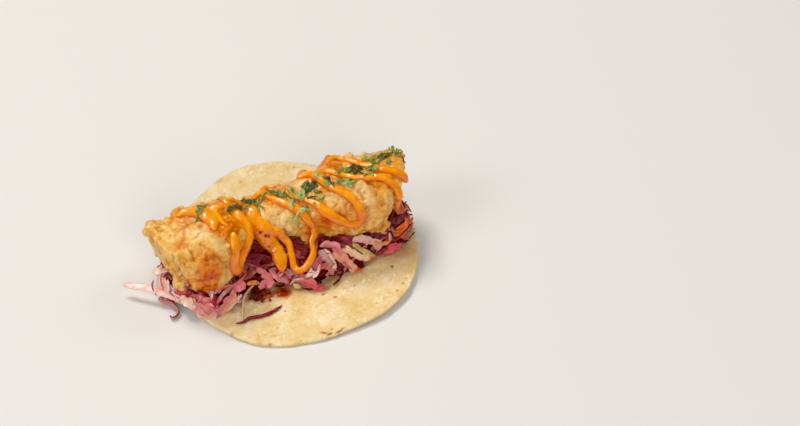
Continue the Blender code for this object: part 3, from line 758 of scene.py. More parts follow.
RIGHT_FOLDS = (
    (((33, -9, 49), (37, -16, 45), (37, -20, 38), (36, -22, 28), (36, -22, 20)), 1.3, -1.1),
    (((38, -8, 50), (42, -16, 46), (43, -20, 38), (42, -21, 26)), 1.8, 1.2),
    (((45, -12, 49), (48, -17, 43), (48, -20, 34), (47, -20, 22)), 1.2, -1.0),
    (((50, -13, 48), (53, -18, 42), (53, -20, 32), (52, -19, 20)), 1.6, 1.1),
    (((55, -17, 38), (57, -18, 30), (57, -17, 20)), 1.0, -0.9),
    (((30, -20, 28), (31, -21, 20), (30, -20, 15)), 1.0, -0.8),
    (((24, -19, 26), (26, -21, 19), (27, -21, 15)), 1.5, 0.9),
    (((-14, -8, 38), (-9, -12, 33), (-2, -14, 28), (4, -15, 26)), 1.8, 1.0),
    (((-14, -12, 30), (-8, -14, 25), (0, -15, 22)), 1.3, -1.0),
    (((9, -12, 36), (14, -15, 32), (20, -18, 27)), 1.6, 1.1),
    (((8, -14, 31), (13, -17, 26), (19, -19, 22)), 1.2, -1.1),
    (((18, -10, 43), (22, -13, 42), (27, -16, 39)), 1.3, -1.0),
    (((20, -7, 46), (25, -11, 45), (30, -15, 42)), 1.3, 1.0), (((-6, 3, 42), (0, -3, 43), (6, -9, 41)), 1.4, -0.8),
)
# Where the batter ran down in strings before it set: x, y, z, radius, strength.
RIGHT_FLUTES = ((46, -20, 26, 16, 1.0), (58, -12, 30, 14, 1.0), (-8, -12, 26, 9, 0.6))


def fish_finish():
    f = Finish("battered_fish", 0.42, (0.28, 0.0022, (1.0, 0.5, 0.15)))
    mottle = f.blend(f.noise(11, 4, 0.6, 0.6), 0.6, f.noise(2.4, 4, 0.6), 0.4)
    base = f.ramp(
        mottle, (0.34, srgb(200, 112, 14)), (0.43, srgb(222, 148, 36)),
        (0.52, srgb(234, 174, 68)), (0.62, srgb(248, 208, 124)),
    )
    # Paler batter: partly its own pale crust, partly painted light on raised parts and on crust in shade.
    base = f.mix(f.field("pale"), base, srgb(240, 206, 136))
    # Hollows in darker orange-brown: partly browner batter, partly painted shade.
    base = f.mix(f.field("crease"), base, srgb(180, 92, 8))
    base = f.mix(f.field("crisp"), base, srgb(214, 130, 26))
    patchy = f.noise(4.5, 4, 0.6)
    golden = f.ramp(patchy, (0.34, srgb(184, 80, 0)), (0.48, srgb(216, 116, 0)), (0.62, srgb(240, 156, 16)))
    orange = f.ramp(patchy, (0.34, srgb(166, 50, 0)), (0.48, srgb(204, 84, 0)), (0.62, srgb(230, 128, 0)))
    base = f.mix(f.field("oil"), base, f.mix(f.field("deep"), golden, orange))
    base = f.specked(base, 1.9, 0.17, 5, 0.5, 0.62, 0.65, srgb(112, 40, 6))
    rough = f.band(f.plus(f.noise(1.8, 3), f.times(f.field("oil"), -0.4)), 0.1, 0.7, 0.07, 0.22)
    height = f.plus(f.noise(0.9, 3, 0.6), f.times(f.noise(0.4, 2), 0.3))
    return f.set(Base_Color=base, Roughness=rough, Normal=f.bump(height, 0.45, 0.6))


def build_fish(node, seed, material, bits, stains, pale, folds, flutes, crispness):
    """A goujon: the CAD shape with fused crumbs, then the relief of the batter."""
    draw = random.Random(seed)
    corners, faces = cad_mesh(node)
    body = np.array(corners)
    # The left goujon's batter hangs a little lower in front than the CAD's.
    hang = smoothstep(24, 11, body[:, 2]) * smoothstep(-12, -18, body[:, 1])
    body[:, 2] -= 3.2 * hang * smoothstep(-76, -68, body[:, 0]) * smoothstep(-44, -52, body[:, 0])
    shape = Bundle()
    shape.add(body, faces)
    for x, y, z, *radii in bits:
        angle = draw.uniform(-0.5, 0.5)
        axis = tuple(draw.uniform(-1, 1) for _ in range(3))
        shape.add(*ball((x, y, z), radii, Matrix.Rotation(angle, 3, axis)))
    for _ in range(CRUMB_COUNT):
        face = faces[draw.randrange(len(faces))]
        spot = sum((corners[i] for i in face), Vector()) / len(face)
        radius = draw.uniform(0.8, 2.0)
        shape.add(*ball(spot, (radius, radius * draw.uniform(0.7, 1.3), radius * draw.uniform(0.6, 1.1))))
    points, quads = shape.fused(BATTER_VOXEL, 5)
    out = point_normals(points, quads)
    warped = points + 2.0 * drift(points, 9.0, seed)
    warped += 0.6 * drift(points, 3.0, seed + 20)
    lumps = layered(warped, (1.2, 13.0, seed + 3), (0.75, 6.0, seed + 4), (0.3, 3.6, seed + 30))
    wandering = points + 0.8 * (warped - points)
    lines = np.zeros(len(points))
    for line, half_width, height in folds:
        lines += height * np.exp(-((distance_to(wandering, smooth_path(line, 0.8)) / half_width) ** 2))
    lumps += lines
    # Lobes with soft creases between them, in patches, then bubbles, pimples and a fine crust.
    near, second = blisters(warped, 6.5, seed + 5)
    patch = smoothstep(-0.25, 0.35, noise(points, 15, seed + 6))
    lobe = smoothstep(0.0, 0.42, second - near)
    lumps += 0.35 * patch * (lobe - 0.7) + 0.30 * patch * smoothstep(0.75, 0.1, near)
    small, small_second = blisters(warped, 2.7, seed + 7)
    bubbly = smoothstep(-0.1, 0.5, noise(points, 8, seed + 8))
    lumps += bubbly * (0.30 * smoothstep(0.8, 0.1, small) - 0.10 * smoothstep(0.25, 0.0, small_second - small))
    pimple, _ = blisters(points, 1.7, seed + 9)
    lumps += 0.22 * smoothstep(0.55, 0.1, pimple) * smoothstep(0.0, 0.5, noise(points, 6, seed + 10))
    crusty = 0.4 + 0.6 * smoothstep(-0.3, 0.3, noise(points, 16, seed + 24))
    lumps += crusty * layered(points, (0.22, 1.8, seed + 11), (0.13, 1.0, seed + 12))
    lumps += 0.8 * blobs(points, flutes) * noise(points * (1, 1, 0.25), 3.4, seed + 17)
    points = points + out * lumps[:, None]
    out = point_normals(points, quads)
    # Creases lie below the local mean of the skin and ridges stand above it, at three sizes.
    stands = [((points - neighbour_mean(points, quads, times)) * out).sum(1) for times in (3, 14, 40)]
    fine, middle, broad = (stand / stand.std() for stand in stands)
    # Darker in creases and in the valleys of the folds: partly browner batter, partly painted shade.
    crease = 0.35 * smoothstep(0.4, 2.4, -fine) + 0.45 * smoothstep(0.3, 2.2, -middle)
    crease += 0.35 * smoothstep(0.3, 2.0, -broad) + 0.2 * np.clip(-lines, 0, 1.5)
    crisp = 0.5 * smoothstep(0.8, 2.4, broad) + 0.35 * smoothstep(0.8, 2.4, middle)
    crisp = np.clip(crisp * smoothstep(-0.1, 0.5, noise(points, 9, seed + 18)), 0, 0.7)
    near_sauce = distance_to(points, SAUCE_LINE[:, :3])
    facing = smoothstep(-0.1, 0.5, out[:, 2])
    oil = smoothstep(6.0, 1.2, near_sauce + 3.0 * noise(points, 5, seed + 13)) * (0.34 + 0.42 * facing)
    # Less oil colour where the batter is paler, which partly paints light onto crust in shade.
    oil *= 1 - 0.6 * np.clip(blobs(points, pale), 0, 1)
    oil += blobs(points, stains) * (0.85 + 0.6 * noise(points, 5, seed + 14))
    oil = np.clip(oil, 0, 1)
    # Paler in the listed spots and in patches, and on raised parts as a painted highlight.
    pale_and_painted_light = blobs(points, pale) + 0.4 * smoothstep(0.2, 0.6, noise(points, 13, seed + 15))
    pale_and_painted_light = np.clip(pale_and_painted_light + 0.5 * smoothstep(0.2, 1.8, middle), 0, 0.9)
    piece = add_piece(
        node.replace("fish", "battered_fish"), points, quads, material, "battered_fish",
        oil=oil, crease=np.clip(0.8 * crease, 0, 0.6), crisp=crisp * crispness, pale=pale_and_painted_light * (1 - oil),
        deep=np.clip(blobs(points, [stain for stain in stains if stain[4] > ORANGE_STAIN]), 0, 1),
    )
    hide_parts(node)
    return points, quads


# ---- Sauce ----


def sauce_finish():
    f = Finish("sauce", 1.0, (0.15, 0.002, (1.0, 0.45, 0.05)))
    # Upward faces take the lighter yellow-orange as painted light, and the rest keeps the deeper orange.
    deep = f.ramp(f.noise(6, 3, 0.5), (0.35, srgb(228, 104, 0)), (0.65, srgb(246, 130, 0)))
    painted_lit_top = f.ramp(f.noise(5, 3, 0.5), (0.35, srgb(252, 146, 0)), (0.65, srgb(255, 170, 8)))
    base = f.mix(f.field("high"), deep, painted_lit_top)
    base = f.specked(base, 2.1, 0.16, 4, 0.46, 0.56, 0.8, srgb(158, 44, 2))
    base = f.mix(f.field("fleck"), base, srgb(140, 28, 2))
    rough = f.band(f.noise(3, 2), 0.3, 0.7, 0.11, 0.22)
    lively = f.band(f.noise(9, 2), 0.42, 0.6, 0.25, 1.0)
    height = f.times(f.plus(f.noise(1.7, 2), f.times(f.noise(0.8, 2), 0.5)), lively)
    return f.set(Base_Color=base, Roughness=rough, Normal=f.bump(height, 0.35, 0.7))


def lay_sauce(run, fish_tree, slaw_tree):
    """A run laid on the crust: the middles of its bead, which way is up, and its half widths.

    Where a run is far from the crust it hangs free, and it keeps clear of the slaw.
    """
    path = smooth_path(run, SAUCE_STEP)
    middles, ups = [], []
    for x, y, z, half_width in path:
        at = Vector((x, y, z))
        spot, normal, _, away = fish_tree.find_nearest(at)
        held = min(1.0, max(0.0, (7.0 - away) / 3.5))
        laid = (spot + normal * min(0.42 * half_width, 1.2)).lerp(at, 1 - held)
        up = normal.lerp((at - spot).normalized(), 1 - held) if held < 1 else normal
        ground, ground_normal, _, gap = slaw_tree.find_nearest(laid)
        clear, wanted = (laid - ground).dot(ground_normal), 0.5 * half_width + 0.8
        if clear < wanted and gap < 8 and ground_normal.y < 0.3:
            laid = laid + ground_normal * min(wanted - clear, 3.0)
        middles.append(laid)
        ups.append(up)
    return softened(np.array(middles), 6), unit(softened(np.array(ups), 8)), path[:, 3]


def build_sauce(fish_tree, slaw_tree, material):
    """All the runs laid over the crust and joined into one skin."""
    shape = Bundle()
    for index, run in enumerate((*SAUCE_RUNS.values(), *SAUCE_JOINS)):
        middles, ups, half_width = lay_sauce(run, fish_tree, slaw_tree)
        along = np.arange(len(middles)) * SAUCE_STEP
        place = np.stack([along, 0 * along, 0 * along + 40 * index], 1)
        half_width = half_width * (1.0 + 0.09 * noise(place, 6, 31) + 0.05 * noise(place, 2.5, 32))
        ends = np.minimum(along, along[-1] - along)
        half_width = half_width * (0.45 + 0.55 * np.sqrt(np.clip(ends / 2.6, 0, 1)))
        half_thick = np.minimum(0.80 * half_width, 2.3)
        # The bead, then a thinner and wider skirt where it wets the crust.
        shape.add(*ribbon(middles, ups, half_width, half_thick, 16, boxy=0.95)[:2])
        skirt = middles - ups * (half_thick * 0.5)[:, None]
        shape.add(*ribbon(skirt, ups, half_width * 1.10, half_thick * 0.28, 12)[:2])
    points, quads = shape.fused(SAUCE_VOXEL, 9)
    out = point_normals(points, quads)
    points = points + out * (layered(points, (0.14, 5.0, 33), (0.06, 2.2, 34)) + 0.06)[:, None]
    lively = np.clip(blobs(points, SAUCE_LIVELY), 0, 1)
    points = points + out * (lively * layered(points, (0.42, 3.2, 36), (0.24, 1.7, 37)))[:, None]
    pits = []
    for x, y, z, radius, strength in SAUCE_FLECKS:
        nearest = points[np.linalg.norm(points - (x, y, z), axis=1).argmin()]
        pits.append((*nearest, radius, strength))
    fleck = blobs(points, pits)
    points = points - out * (0.7 * np.clip(fleck, 0, 1))[:, None]
    # How much each point faces up, used to lighten the tops of the beads as painted light.
    high = smoothstep(-0.1, 0.95, point_normals(points, quads)[:, 2] + 0.25 * noise(points, 4.0, 35))
    piece = add_piece(
        "sauce_squiggles", points, quads, material, "sauce", fleck=smoothstep(0.35, 0.75, fleck), high=high,
    )
    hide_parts(*SAUCE_RUNS)
    return points, quads


# ---- Slaw ----

PINK, ROSE, LILAC, SALMON = srgb(240, 136, 132), srgb(214, 70, 86), srgb(228, 142, 146), srgb(250, 160, 122)
PALE, CREAM, GREENISH = srgb(254, 212, 194), srgb(250, 204, 158), srgb(216, 190, 108)
PLUM, WINE, CARROT, PEACH = srgb(160, 22, 46), srgb(102, 2, 18), srgb(238, 104, 6), srgb(246, 146, 66)
# The heap's outline on the tortilla, seen from above.
SLAW_RIM = (
    (-79, -9), (-77, -18), (-72, -25), (-65, -32), (-56, -37), (-47, -35), (-38, -30),
    (-28, -27), (-18, -27), (-9, -29), (0, -34), (8, -35), (16, -29), (26, -28),
    (34, -27), (42, -22), (50, -20), (58, -21), (65, -16), (70, -9), (71, -1), (66, 8),
    (55, 12), (38, 14), (18, 15), (-5, 15), (-28, 14), (-50, 12), (-67, 11), (-78, 5),
)
CLOSE_RIM = [tuple(p[:2]) for p in smooth_path([(*p, 0) for p in SLAW_RIM + SLAW_RIM[:1]], 2.0)]
# Shreds grow wetter and darker from this height up, over this rise: partly juice, partly painted shade under the
# fish.
HEAP_FLOOR, HEAP_RISE = 4.0, 17.0
CORE_VOXEL, CRAWL_STEP, CRAWL_WANDER = 1.1, 1.1, 0.35
INNER_SHREDS, ALL_SHREDS, MOST_TRIES, DARK_CRUMBS = 230, 660, 60000, 34


def shade(colour, share):
    """A colour made darker or lighter."""
    return tuple(c * share for c in colour)


def blend(a, b, share):
    """Colour a turned towards colour b by share."""
    return tuple(x * (1 - share) + y * share for x, y in zip(a, b))


def soaked_and_shaded(colour, share):
    """A shred's colour turned towards wine red and darker: partly purple juice soaked into it, partly painted shade
    deep in the heap.
    """
    kept = (1 - 0.05 * share, 1 - 0.72 * share, 1 - 0.66 * share)
    return tuple(c * m for c, m in zip(blend(colour, WINE, share), kept))


def cabbage_finish(name, shine, rough_low, rough_high):
    """Cabbage in each shred's own colour, with fibres that run along the shred."""
    f = Finish(name, shine, (0.35, 0.0016, (1.0, 0.4, 0.3)))
    tint, grain = f.field("tint", "Color"), f.field("grain", "Vector")
    fibre = f.add("ShaderNodeTexNoise", Vector=grain, Scale=1.0, Detail=3.0, Roughness=0.6).outputs["Fac"]
    lighter = f.add("ShaderNodeGamma", Color=tint, Gamma=0.6).outputs["Color"]
    base = f.mix(f.band(fibre, 0.46, 0.66, 0.0, 0.45), tint, (0.8, 0.34, 0.36), "MULTIPLY")
    base = f.mix(f.band(fibre, 0.44, 0.30, 0.0, 0.6), base, lighter)
    base = f.mix(f.band(f.noise(3.5, 2), 0.52, 0.68, 0.0, 0.5), base, lighter)
    rough = f.band(f.noise(1.6, 2), 0.3, 0.7, rough_low, rough_high)
    height = f.blend(fibre, 0.6, f.noise(1.5, 2), 0.8)
    return f.set(Base_Color=base, Roughness=rough, Normal=f.bump(height, 0.25, 0.5))


def shade_core_finish():
    f = Finish("slaw_shade_core", 0.1)
    # Near-black wine red, painted shade for the gaps between shreds.
    base = f.ramp(f.noise(2.6, 3, 0.6), (0.36, srgb(30, 0, 2)), (0.55, srgb(72, 0, 6)), (0.7, srgb(118, 12, 16)))
    rough = f.band(f.noise(2), 0.3, 0.7, 0.35, 0.6)
    return f.set(Base_Color=base, Roughness=rough, Normal=f.bump(f.noise(1.5, 3), 0.5, 0.8))


def build_shade_core(material):
    """A dark sheet inside the CAD slaw, painted as the shade deep in the heap, which shows only between shreds."""
    points, quads = fused(*cad_mesh("slaw"), CORE_VOXEL, 4)
    sink = 1.9 + 0.9 * noise(points, 5.0, 41) + 0.5 * noise(points, 2.4, 42)
    inner = points - point_normals(points, quads) * np.clip(sink, 0.4, 4)[:, None]
    inner[:, 2] = np.maximum(inner[:, 2], TORTILLA_THICKNESS + 0.1)
    add_piece("slaw_shade_core", inner, quads, material, "slaw")


def crawl(tree, start, heading, length, draw, offset, lift):
    """A path of a shred over the heap: each step is snapped to the surface and may turn a little.

    It runs offset above the surface, and lift raises its two ends further.
    """
    spot, normal, _, _ = tree.find_nearest(Vector(start))
    way = Vector((math.cos(heading), math.sin(heading), 0))
    way = (way - normal * way.dot(normal)).normalized()
    middles, ups = [], []
    count = max(5, int(length / CRAWL_STEP))
    bend = draw.uniform(-CRAWL_WANDER, CRAWL_WANDER) * 0.35
    for i in range(count):
        t = i / (count - 1)
        middles.append(spot + normal * (offset + lift[0] * (1 - t) ** 3 + lift[1] * t**3))
        ups.append(normal.copy())
        bend += draw.uniform(-CRAWL_WANDER, CRAWL_WANDER) * 0.22
        bend *= 0.92
        way = Matrix.Rotation(bend, 3, normal) @ way
        spot, normal, _, _ = tree.find_nearest(spot + way * CRAWL_STEP)
        way = (way - normal * way.dot(normal)).normalized()
    return softened(np.array(middles), 3), softened(np.array(ups), 3)


def add_shred(
    bundle, middles, ups, half_width, half_thick, tint, skin, draw,
    *, cup, ragged, crumple, roll=0.0, twist=0.0, crinkle=0.35, kind="rib", blunt=None,
):
    """One shred, crinkled and crumpled. Its flesh is tint; skin is the colour of one edge or tip.

    roll and twist turn it about its length, cup hollows it, and blunt is how far from its ends it narrows.
    """
    count = len(middles)
    along = np.linspace(0, 1, count)
    reach = np.r_[0, np.cumsum(np.linalg.norm(np.diff(middles, axis=0), axis=1))]
    place = np.stack([reach, np.full(count, draw.randrange(9000) * 3.7), np.zeros(count)], 1)
    ways = unit(np.gradient(middles, axis=0))
    side = unit(np.cross(ways, ups))
    up = np.cross(side, ways)
    sway = crinkle * np.stack([noise(place, 4.2, 51), 0.8 * noise(place, 5.2, 52)])
    middles = middles + up * sway[0][:, None] + side * sway[1][:, None]
    turn = roll + twist * along + 0.3 * noise(place, 6.0, 53)
    ups = up * np.cos(turn)[:, None] + side * np.sin(turn)[:, None]
    ends = np.minimum(along, 1 - along) * reach[-1]
    blunt = draw.uniform(0.8, 4.0) if blunt is None else blunt
    taper = 0.12 + 0.88 * np.clip(ends / blunt, 0, 1) ** draw.uniform(0.45, 1.0)
    edges = []
    for i in range(2):
        wave = 1 + ragged * noise(place + (0, 7.7 * i, 0), 2.2, 54) + ragged * noise(place + (0, 5.1 * i, 0), 6, 55)
        edges.append(half_width * wave * taper)
    askew = 0.8 if kind != "petal" else 0.2
    slant = (draw.uniform(-askew, askew), draw.uniform(-askew, askew))
    sides = 12 if half_width > 1.5 else 8
    half_thick = half_thick * (0.5 + 0.5 * taper)
    points, faces, edge, t = ribbon(middles, ups, tuple(edges), half_thick, sides, cup, 0.55, slant)
    own = points + draw.uniform(0, 900)
    warp = drift(own, 4.6, 58) + 0.25 * drift(own, 2.0, 61)
    points = points + crumple * min(1.0, half_width / 1.6) * warp
    streak = noise(own, 3.0, 56)
    signed = edge * (1 if draw.random() < 0.5 else -1)
    if kind in ("leaf", "petal"):
        share = 0.8 * smoothstep(-0.4, 1.1, signed + 0.4 * streak) * draw.uniform(0.3, 1.0)
    else:
        share = smoothstep(0.6, 0.95, signed + 0.12 * streak) * 0.85
    tip = smoothstep(0.78, 1.0, t if draw.random() < 0.5 else 1 - t) * draw.uniform(0, 0.6)
    share = np.clip(np.maximum(share, tip), 0, 1)[:, None]
    colour = np.array(tint) * (1 - share) + np.array(skin) * share
    light = 1 + 0.22 * noise(own, 4.5, 57)
    # Squeezed along the shred, so that the fibres run its length.
    grain = np.stack([edge * half_width / 0.55, t * reach[-1] / 4.5, np.full(len(t), draw.uniform(0, 500))], 1)
    bundle.add(points, faces, tint=np.clip(colour * light[:, None], 0.0, 0.95), grain=grain)


def kind_of_shred(x, draw):
    """A random shred: leaf, rib or thread, its flesh and skin, and its half width and thickness.

    The left end of the heap is pinker, and the right end has more wine red, pale ribs and carrot.
    """
    left, right = smoothstep(-30, -60, x), smoothstep(20, 50, x)
    kinds = (
        (1.6 + 1.2 * left, "leaf", PINK, ROSE, 1.8), (1.0, "leaf", ROSE, PLUM, 1.7),
        (1.1 - 0.7 * left, "leaf", LILAC, ROSE, 1.8), (1.0 + 1.2 * left, "leaf", SALMON, PINK, 1.9),
        (1.8 + 0.4 * right, "rib", PALE, ROSE, 1.2), (1.4, "rib", PINK, PLUM, 1.15),
        (0.9 - 0.5 * left, "rib", LILAC, WINE, 1.15), (1.1 + 0.8 * right - 0.7 * left, "rib", PLUM, WINE, 1.0),
        (0.8 - 0.5 * left, "leaf", PLUM, WINE, 1.6), (0.8 - 0.5 * left, "thread", WINE, WINE, 0.55),
        (0.5, "thread", ROSE, WINE, 0.6), (0.4 + 0.3 * right, "rib", PEACH, CARROT, 1.2),
        (0.4, "rib", CREAM, PALE, 1.2), (0.06 + 0.10 * right, "leaf", GREENISH, CREAM, 1.4),
    )
    pick = draw.uniform(0, sum(k[0] for k in kinds))
    for weight, kind, flesh, skin, width in kinds:
        pick -= weight
        if pick <= 0:
            break
    thick = {"leaf": draw.uniform(0.22, 0.38), "rib": draw.uniform(0.45, 0.7), "thread": draw.uniform(0.3, 0.45)}
    flesh = shade(flesh, draw.uniform(0.85, 1.15) * (1 + 0.2 * left))
    return kind, flesh, skin, width * draw.uniform(0.7, 1.35), thick[kind]


def inside(x, y, outline):
    """Whether a place lies within a closed outline."""
    hit = False
    for (ax, ay), (bx, by) in zip(outline, outline[1:] + outline[:1]):
        if (ay > y) != (by > y) and x < (bx - ax) * (y - ay) / (by - ay) + ax:
            hit = not hit
    return hit


def rim_distance(x, y):
    return min(math.hypot(x - a, y - b) for a, b in CLOSE_RIM)


# Shreds that stand out: points of the middle line, half width, flesh, skin, roll in degrees.
FEATURES = (
    # left end
    (((-75.5, -2, 15), (-78, -6, 13), (-79, -11, 9.5), (-78.5, -15, 6)), 2.6, srgb(255, 214, 200), SALMON, 10),
    (((-81, -4, 13), (-78, -6, 14.5), (-74, -8, 15)), 1.7, PALE, SALMON, 0),
    (((-73, -4, 15), (-76, -9, 13), (-77, -14, 10), (-76, -18, 7)), 2.3, srgb(252, 186, 172), PINK, -15),
    (((-82, -8, 11), (-83.5, -11, 8.5), (-82.5, -14, 5)), 1.1, srgb(196, 100, 112), PLUM, 30),
    (((-75, -13, 14), (-76, -17, 9)), 1.3, PALE, PALE, 0), (((-74, -10, 16), (-77, -11, 14)), 0.9, WINE, WINE, 0),
    (((-69, -26, 8), (-66, -30, 7), (-61, -34, 6), (-57, -35, 5)), 3.2, PINK, SALMON, 15),
    (((-72, -23, 9), (-68, -28, 9), (-64, -31, 8)), 2.6, PALE, SALMON, -25),
    (((-66, -31, 5), (-61, -35, 4), (-56, -38, 3)), 2.8, srgb(255, 190, 172), PINK, 10),
    (((-57, -38, 3), (-53, -36, 6), (-48, -33, 9), (-43, -30, 11)), 3.0, PINK, ROSE, 30),
    (((-54, -37, 4), (-49, -35, 7), (-44, -31, 10)), 2.2, SALMON, PINK, -15),
    (((-67, -27, 12), (-67, -30, 8)), 1.3, CREAM, SALMON, 0),
    (((-48, -25, 10), (-45, -21, 12), (-42, -19, 13)), 2.6, srgb(214, 170, 168), LILAC, 20),
    (((-46, -29, 13), (-41, -27, 14), (-37, -25, 15), (-34, -23, 17)), 1.7, SALMON, PLUM, 40),
    (((-36, -28, 12), (-32, -27, 11), (-28, -26, 9)), 1.3, PEACH, CARROT, 0),
    (((-31, -27, 8), (-28, -25, 11), (-26, -24, 13)), 1.5, WINE, WINE, 50),
    (((-64, -31, 8), (-59, -34, 7), (-54, -35, 7)), 3.6, srgb(246, 156, 150), SALMON, -10),
    (((-62, -27, 12), (-56, -29, 12), (-50, -29, 12)), 2.8, srgb(240, 140, 140), ROSE, 10),
    (((-52, -35, 7), (-48, -34, 8), (-45, -32, 9)), 3.4, srgb(244, 150, 152), PINK, 15),
    (((-44, -30, 11), (-40, -28, 13), (-37, -26, 14)), 3.0, srgb(236, 128, 134), ROSE, -10),
    # middle
    (((-28, -21, 16), (-24, -24, 13), (-22, -26, 9), (-23, -29, 5)), 2.4, PINK, PLUM, 25),
    (((-21, -23, 14), (-16, -26, 10), (-11, -29, 6)), 2.6, LILAC, PLUM, -20),
    (((-12, -24, 13), (-8, -28, 8), (-4, -31, 6)), 2.0, srgb(186, 116, 122), PLUM, 15),
    (((-9, -30, 5), (-5, -33, 3.5)), 1.4, GREENISH, CREAM, 0),
    (((-5, -31, 7), (-1, -33, 6), (3, -36, 4), (7, -39, 3)), 1.7, ROSE, PINK, 10),
    (((-2, -31, 9), (1, -31, 12), (4, -29, 16)), 1.6, PALE, LILAC, 30),
    (((2, -33, 9), (5, -31, 12), (7, -28, 15)), 1.5, PALE, PINK, -30),
    (((1, -31, 13), (5, -29, 16), (9, -26, 17)), 1.9, srgb(196, 92, 106), ROSE, 20),
    (((8, -23, 19), (11, -26, 16), (12, -29, 11), (14, -31, 6)), 2.9, srgb(206, 160, 140), LILAC, 0),
    (((12, -23, 19), (14, -26, 14), (16, -29, 8)), 1.7, PALE, PINK, 40),
    (((9, -22, 20), (15, -21, 20), (19, -22, 19), (21, -25, 15)), 2.2, LILAC, PLUM, 35),
    (((11, -22, 19), (16, -24, 16), (21, -26, 12), (26, -29, 7), (29, -31, 4)), 2.6, SALMON, PINK, 10),
    (((27, -30, 4), (31, -33, 3.6)), 1.7, CARROT, PEACH, 0),
    (((17, -28, 9), (20, -30, 6), (18, -33, 3.4), (12, -38, 3)), 0.7, WINE, WINE, 0),
    (((19, -24, 13), (24, -28, 7), (30, -29, 4)), 1.6, srgb(190, 112, 108), PLUM, -20),
    # right
    (((29, -21, 18), (36, -21, 17), (42, -21, 13), (46, -22, 8)), 2.6, srgb(222, 184, 168), PINK, 10),
    (((29, -22, 17), (34, -25, 12), (41, -24, 6)), 1.6, GREENISH, CREAM, -10),
    (((22, -22, 17), (28, -25, 13), (34, -27, 9), (39, -25, 6)), 2.2, CREAM, PINK, 15),
    (((35, -18, 17), (41, -19, 17), (47, -18, 15), (53, -18, 15)), 2.0, WINE, srgb(52, 4, 14), 0),
    (((39, -21, 14), (45, -21, 11), (52, -21, 10)), 1.3, PEACH, CARROT, 0),
    (((48, -22, 4), (53, -22, 6), (58, -22, 7)), 2.8, ROSE, PINK, 0),
    (((43, -24, 5), (51, -21, 8), (60, -19, 12), (68, -13, 12)), 1.3, PLUM, WINE, 20),
    (((55, -19, 12), (61, -17, 14), (68, -10, 13)), 2.6, CARROT, srgb(230, 126, 44), 0),
    (((57, -9, 25), (63, -7, 22), (68, -3, 16)), 4.4, srgb(206, 108, 72), PEACH, 0),
    (((52, -14, 19), (58, -15, 18), (64, -13, 15)), 2.2, WINE, WINE, 20),
)


def build_slaw(material, soaked_shaded_material):
    """Random shreds over the CAD slaw, the inner ones soaked and darkened as painted shade, then those that stand
    out.
    """
    draw = random.Random(20)
    tree = tree_of(cad_mesh("slaw"), cad_mesh("tortilla"))
    lower, upper = Bundle(), Bundle()
    placed, tries = 0, 0
    while placed < ALL_SHREDS and tries < MOST_TRIES:
        tries += 1
        x, y = draw.uniform(-82, 74), draw.uniform(-39, 17)
        if not inside(x, y, SLAW_RIM) or rim_distance(x, y) > (15 if y < 0 else 8):
            continue
        spot = tree.ray_cast(Vector((x, y, 60)), Vector((0, 0, -1)))[0]
        if spot is None:
            continue
        low = placed < INNER_SHREDS
        kind, flesh, skin, width, thick = kind_of_shred(x, draw)
        # Shreds high up under the fish are wetter and darker, partly juice and partly painted shade, and those low
        # near the rim are lighter as painted light.
        high = min(1.0, max(0.0, (spot.z - HEAP_FLOOR) / HEAP_RISE))
        # Inner shreds are soaked dark throughout, as painted shade deep in the heap.
        soak_and_shade = draw.uniform(0.85, 1.0) if low else 0.85 * high**1.3
        flesh, skin = (shade(soaked_and_shaded(c, soak_and_shade), 1.14 - 0.34 * high) for c in (flesh, skin))
        heading = draw.gauss(0, 0.8) + (math.pi if draw.random() < 0.5 else 0)
        length = {"leaf": draw.uniform(7, 17), "rib": draw.uniform(10, 28), "thread": draw.uniform(12, 30)}[kind]
        rise = draw.uniform(-1.8, -0.8) if low else draw.uniform(-0.9, 0.8)
        lift = (0, 0) if low else (draw.choice((0, 0, 1.5, 2.8)), draw.choice((0, 0, 0, 2.2)))
        middles, ups = crawl(tree, spot, heading, length, draw, rise, lift)
        middles[:, 2] = np.maximum(middles[:, 2], TORTILLA_THICKNESS + 0.6)
        if any(not inside(x, y, SLAW_RIM) and rim_distance(x, y) > 1.8 for x, y, _ in middles[::3]):
            continue
        add_shred(
            lower if low or soak_and_shade > 0.35 else upper, middles, ups, width, thick, flesh, skin, draw,
            roll=draw.gauss(0, 0.45), twist=draw.gauss(0, 0.7), cup=draw.uniform(-0.2, 0.45), kind=kind,
            ragged=0.26 if kind == "leaf" else 0.12, crumple=0.7 if kind == "leaf" else 0.3,
        )
        placed += 1
    for line, half_width, flesh, skin, roll in FEATURES:
        middles = smooth_path(line, 0.9)
        ups = softened(np.array([tree.find_nearest(Vector(point))[1] for point in middles]), 4)
        leafy = half_width > 1.9
        rise = 1.8 if line[0][0] < -65 else 0.8
        add_shred(
            upper, middles + ups * rise, ups, half_width, 0.32 if leafy else 0.5, flesh, skin, draw,
            roll=math.radians(roll), twist=draw.gauss(0, 0.25), cup=0.15, kind="petal" if leafy else "rib",
            blunt=2.4 if leafy else 1.6, ragged=0.32 if leafy else 0.1, crumple=0.7 if leafy else 0.2,
        )
    first = lower.piece("slaw_inner_shreds", soaked_shaded_material, "slaw")
    upper.piece("slaw_outer_shreds", material, "slaw")
    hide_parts("slaw")


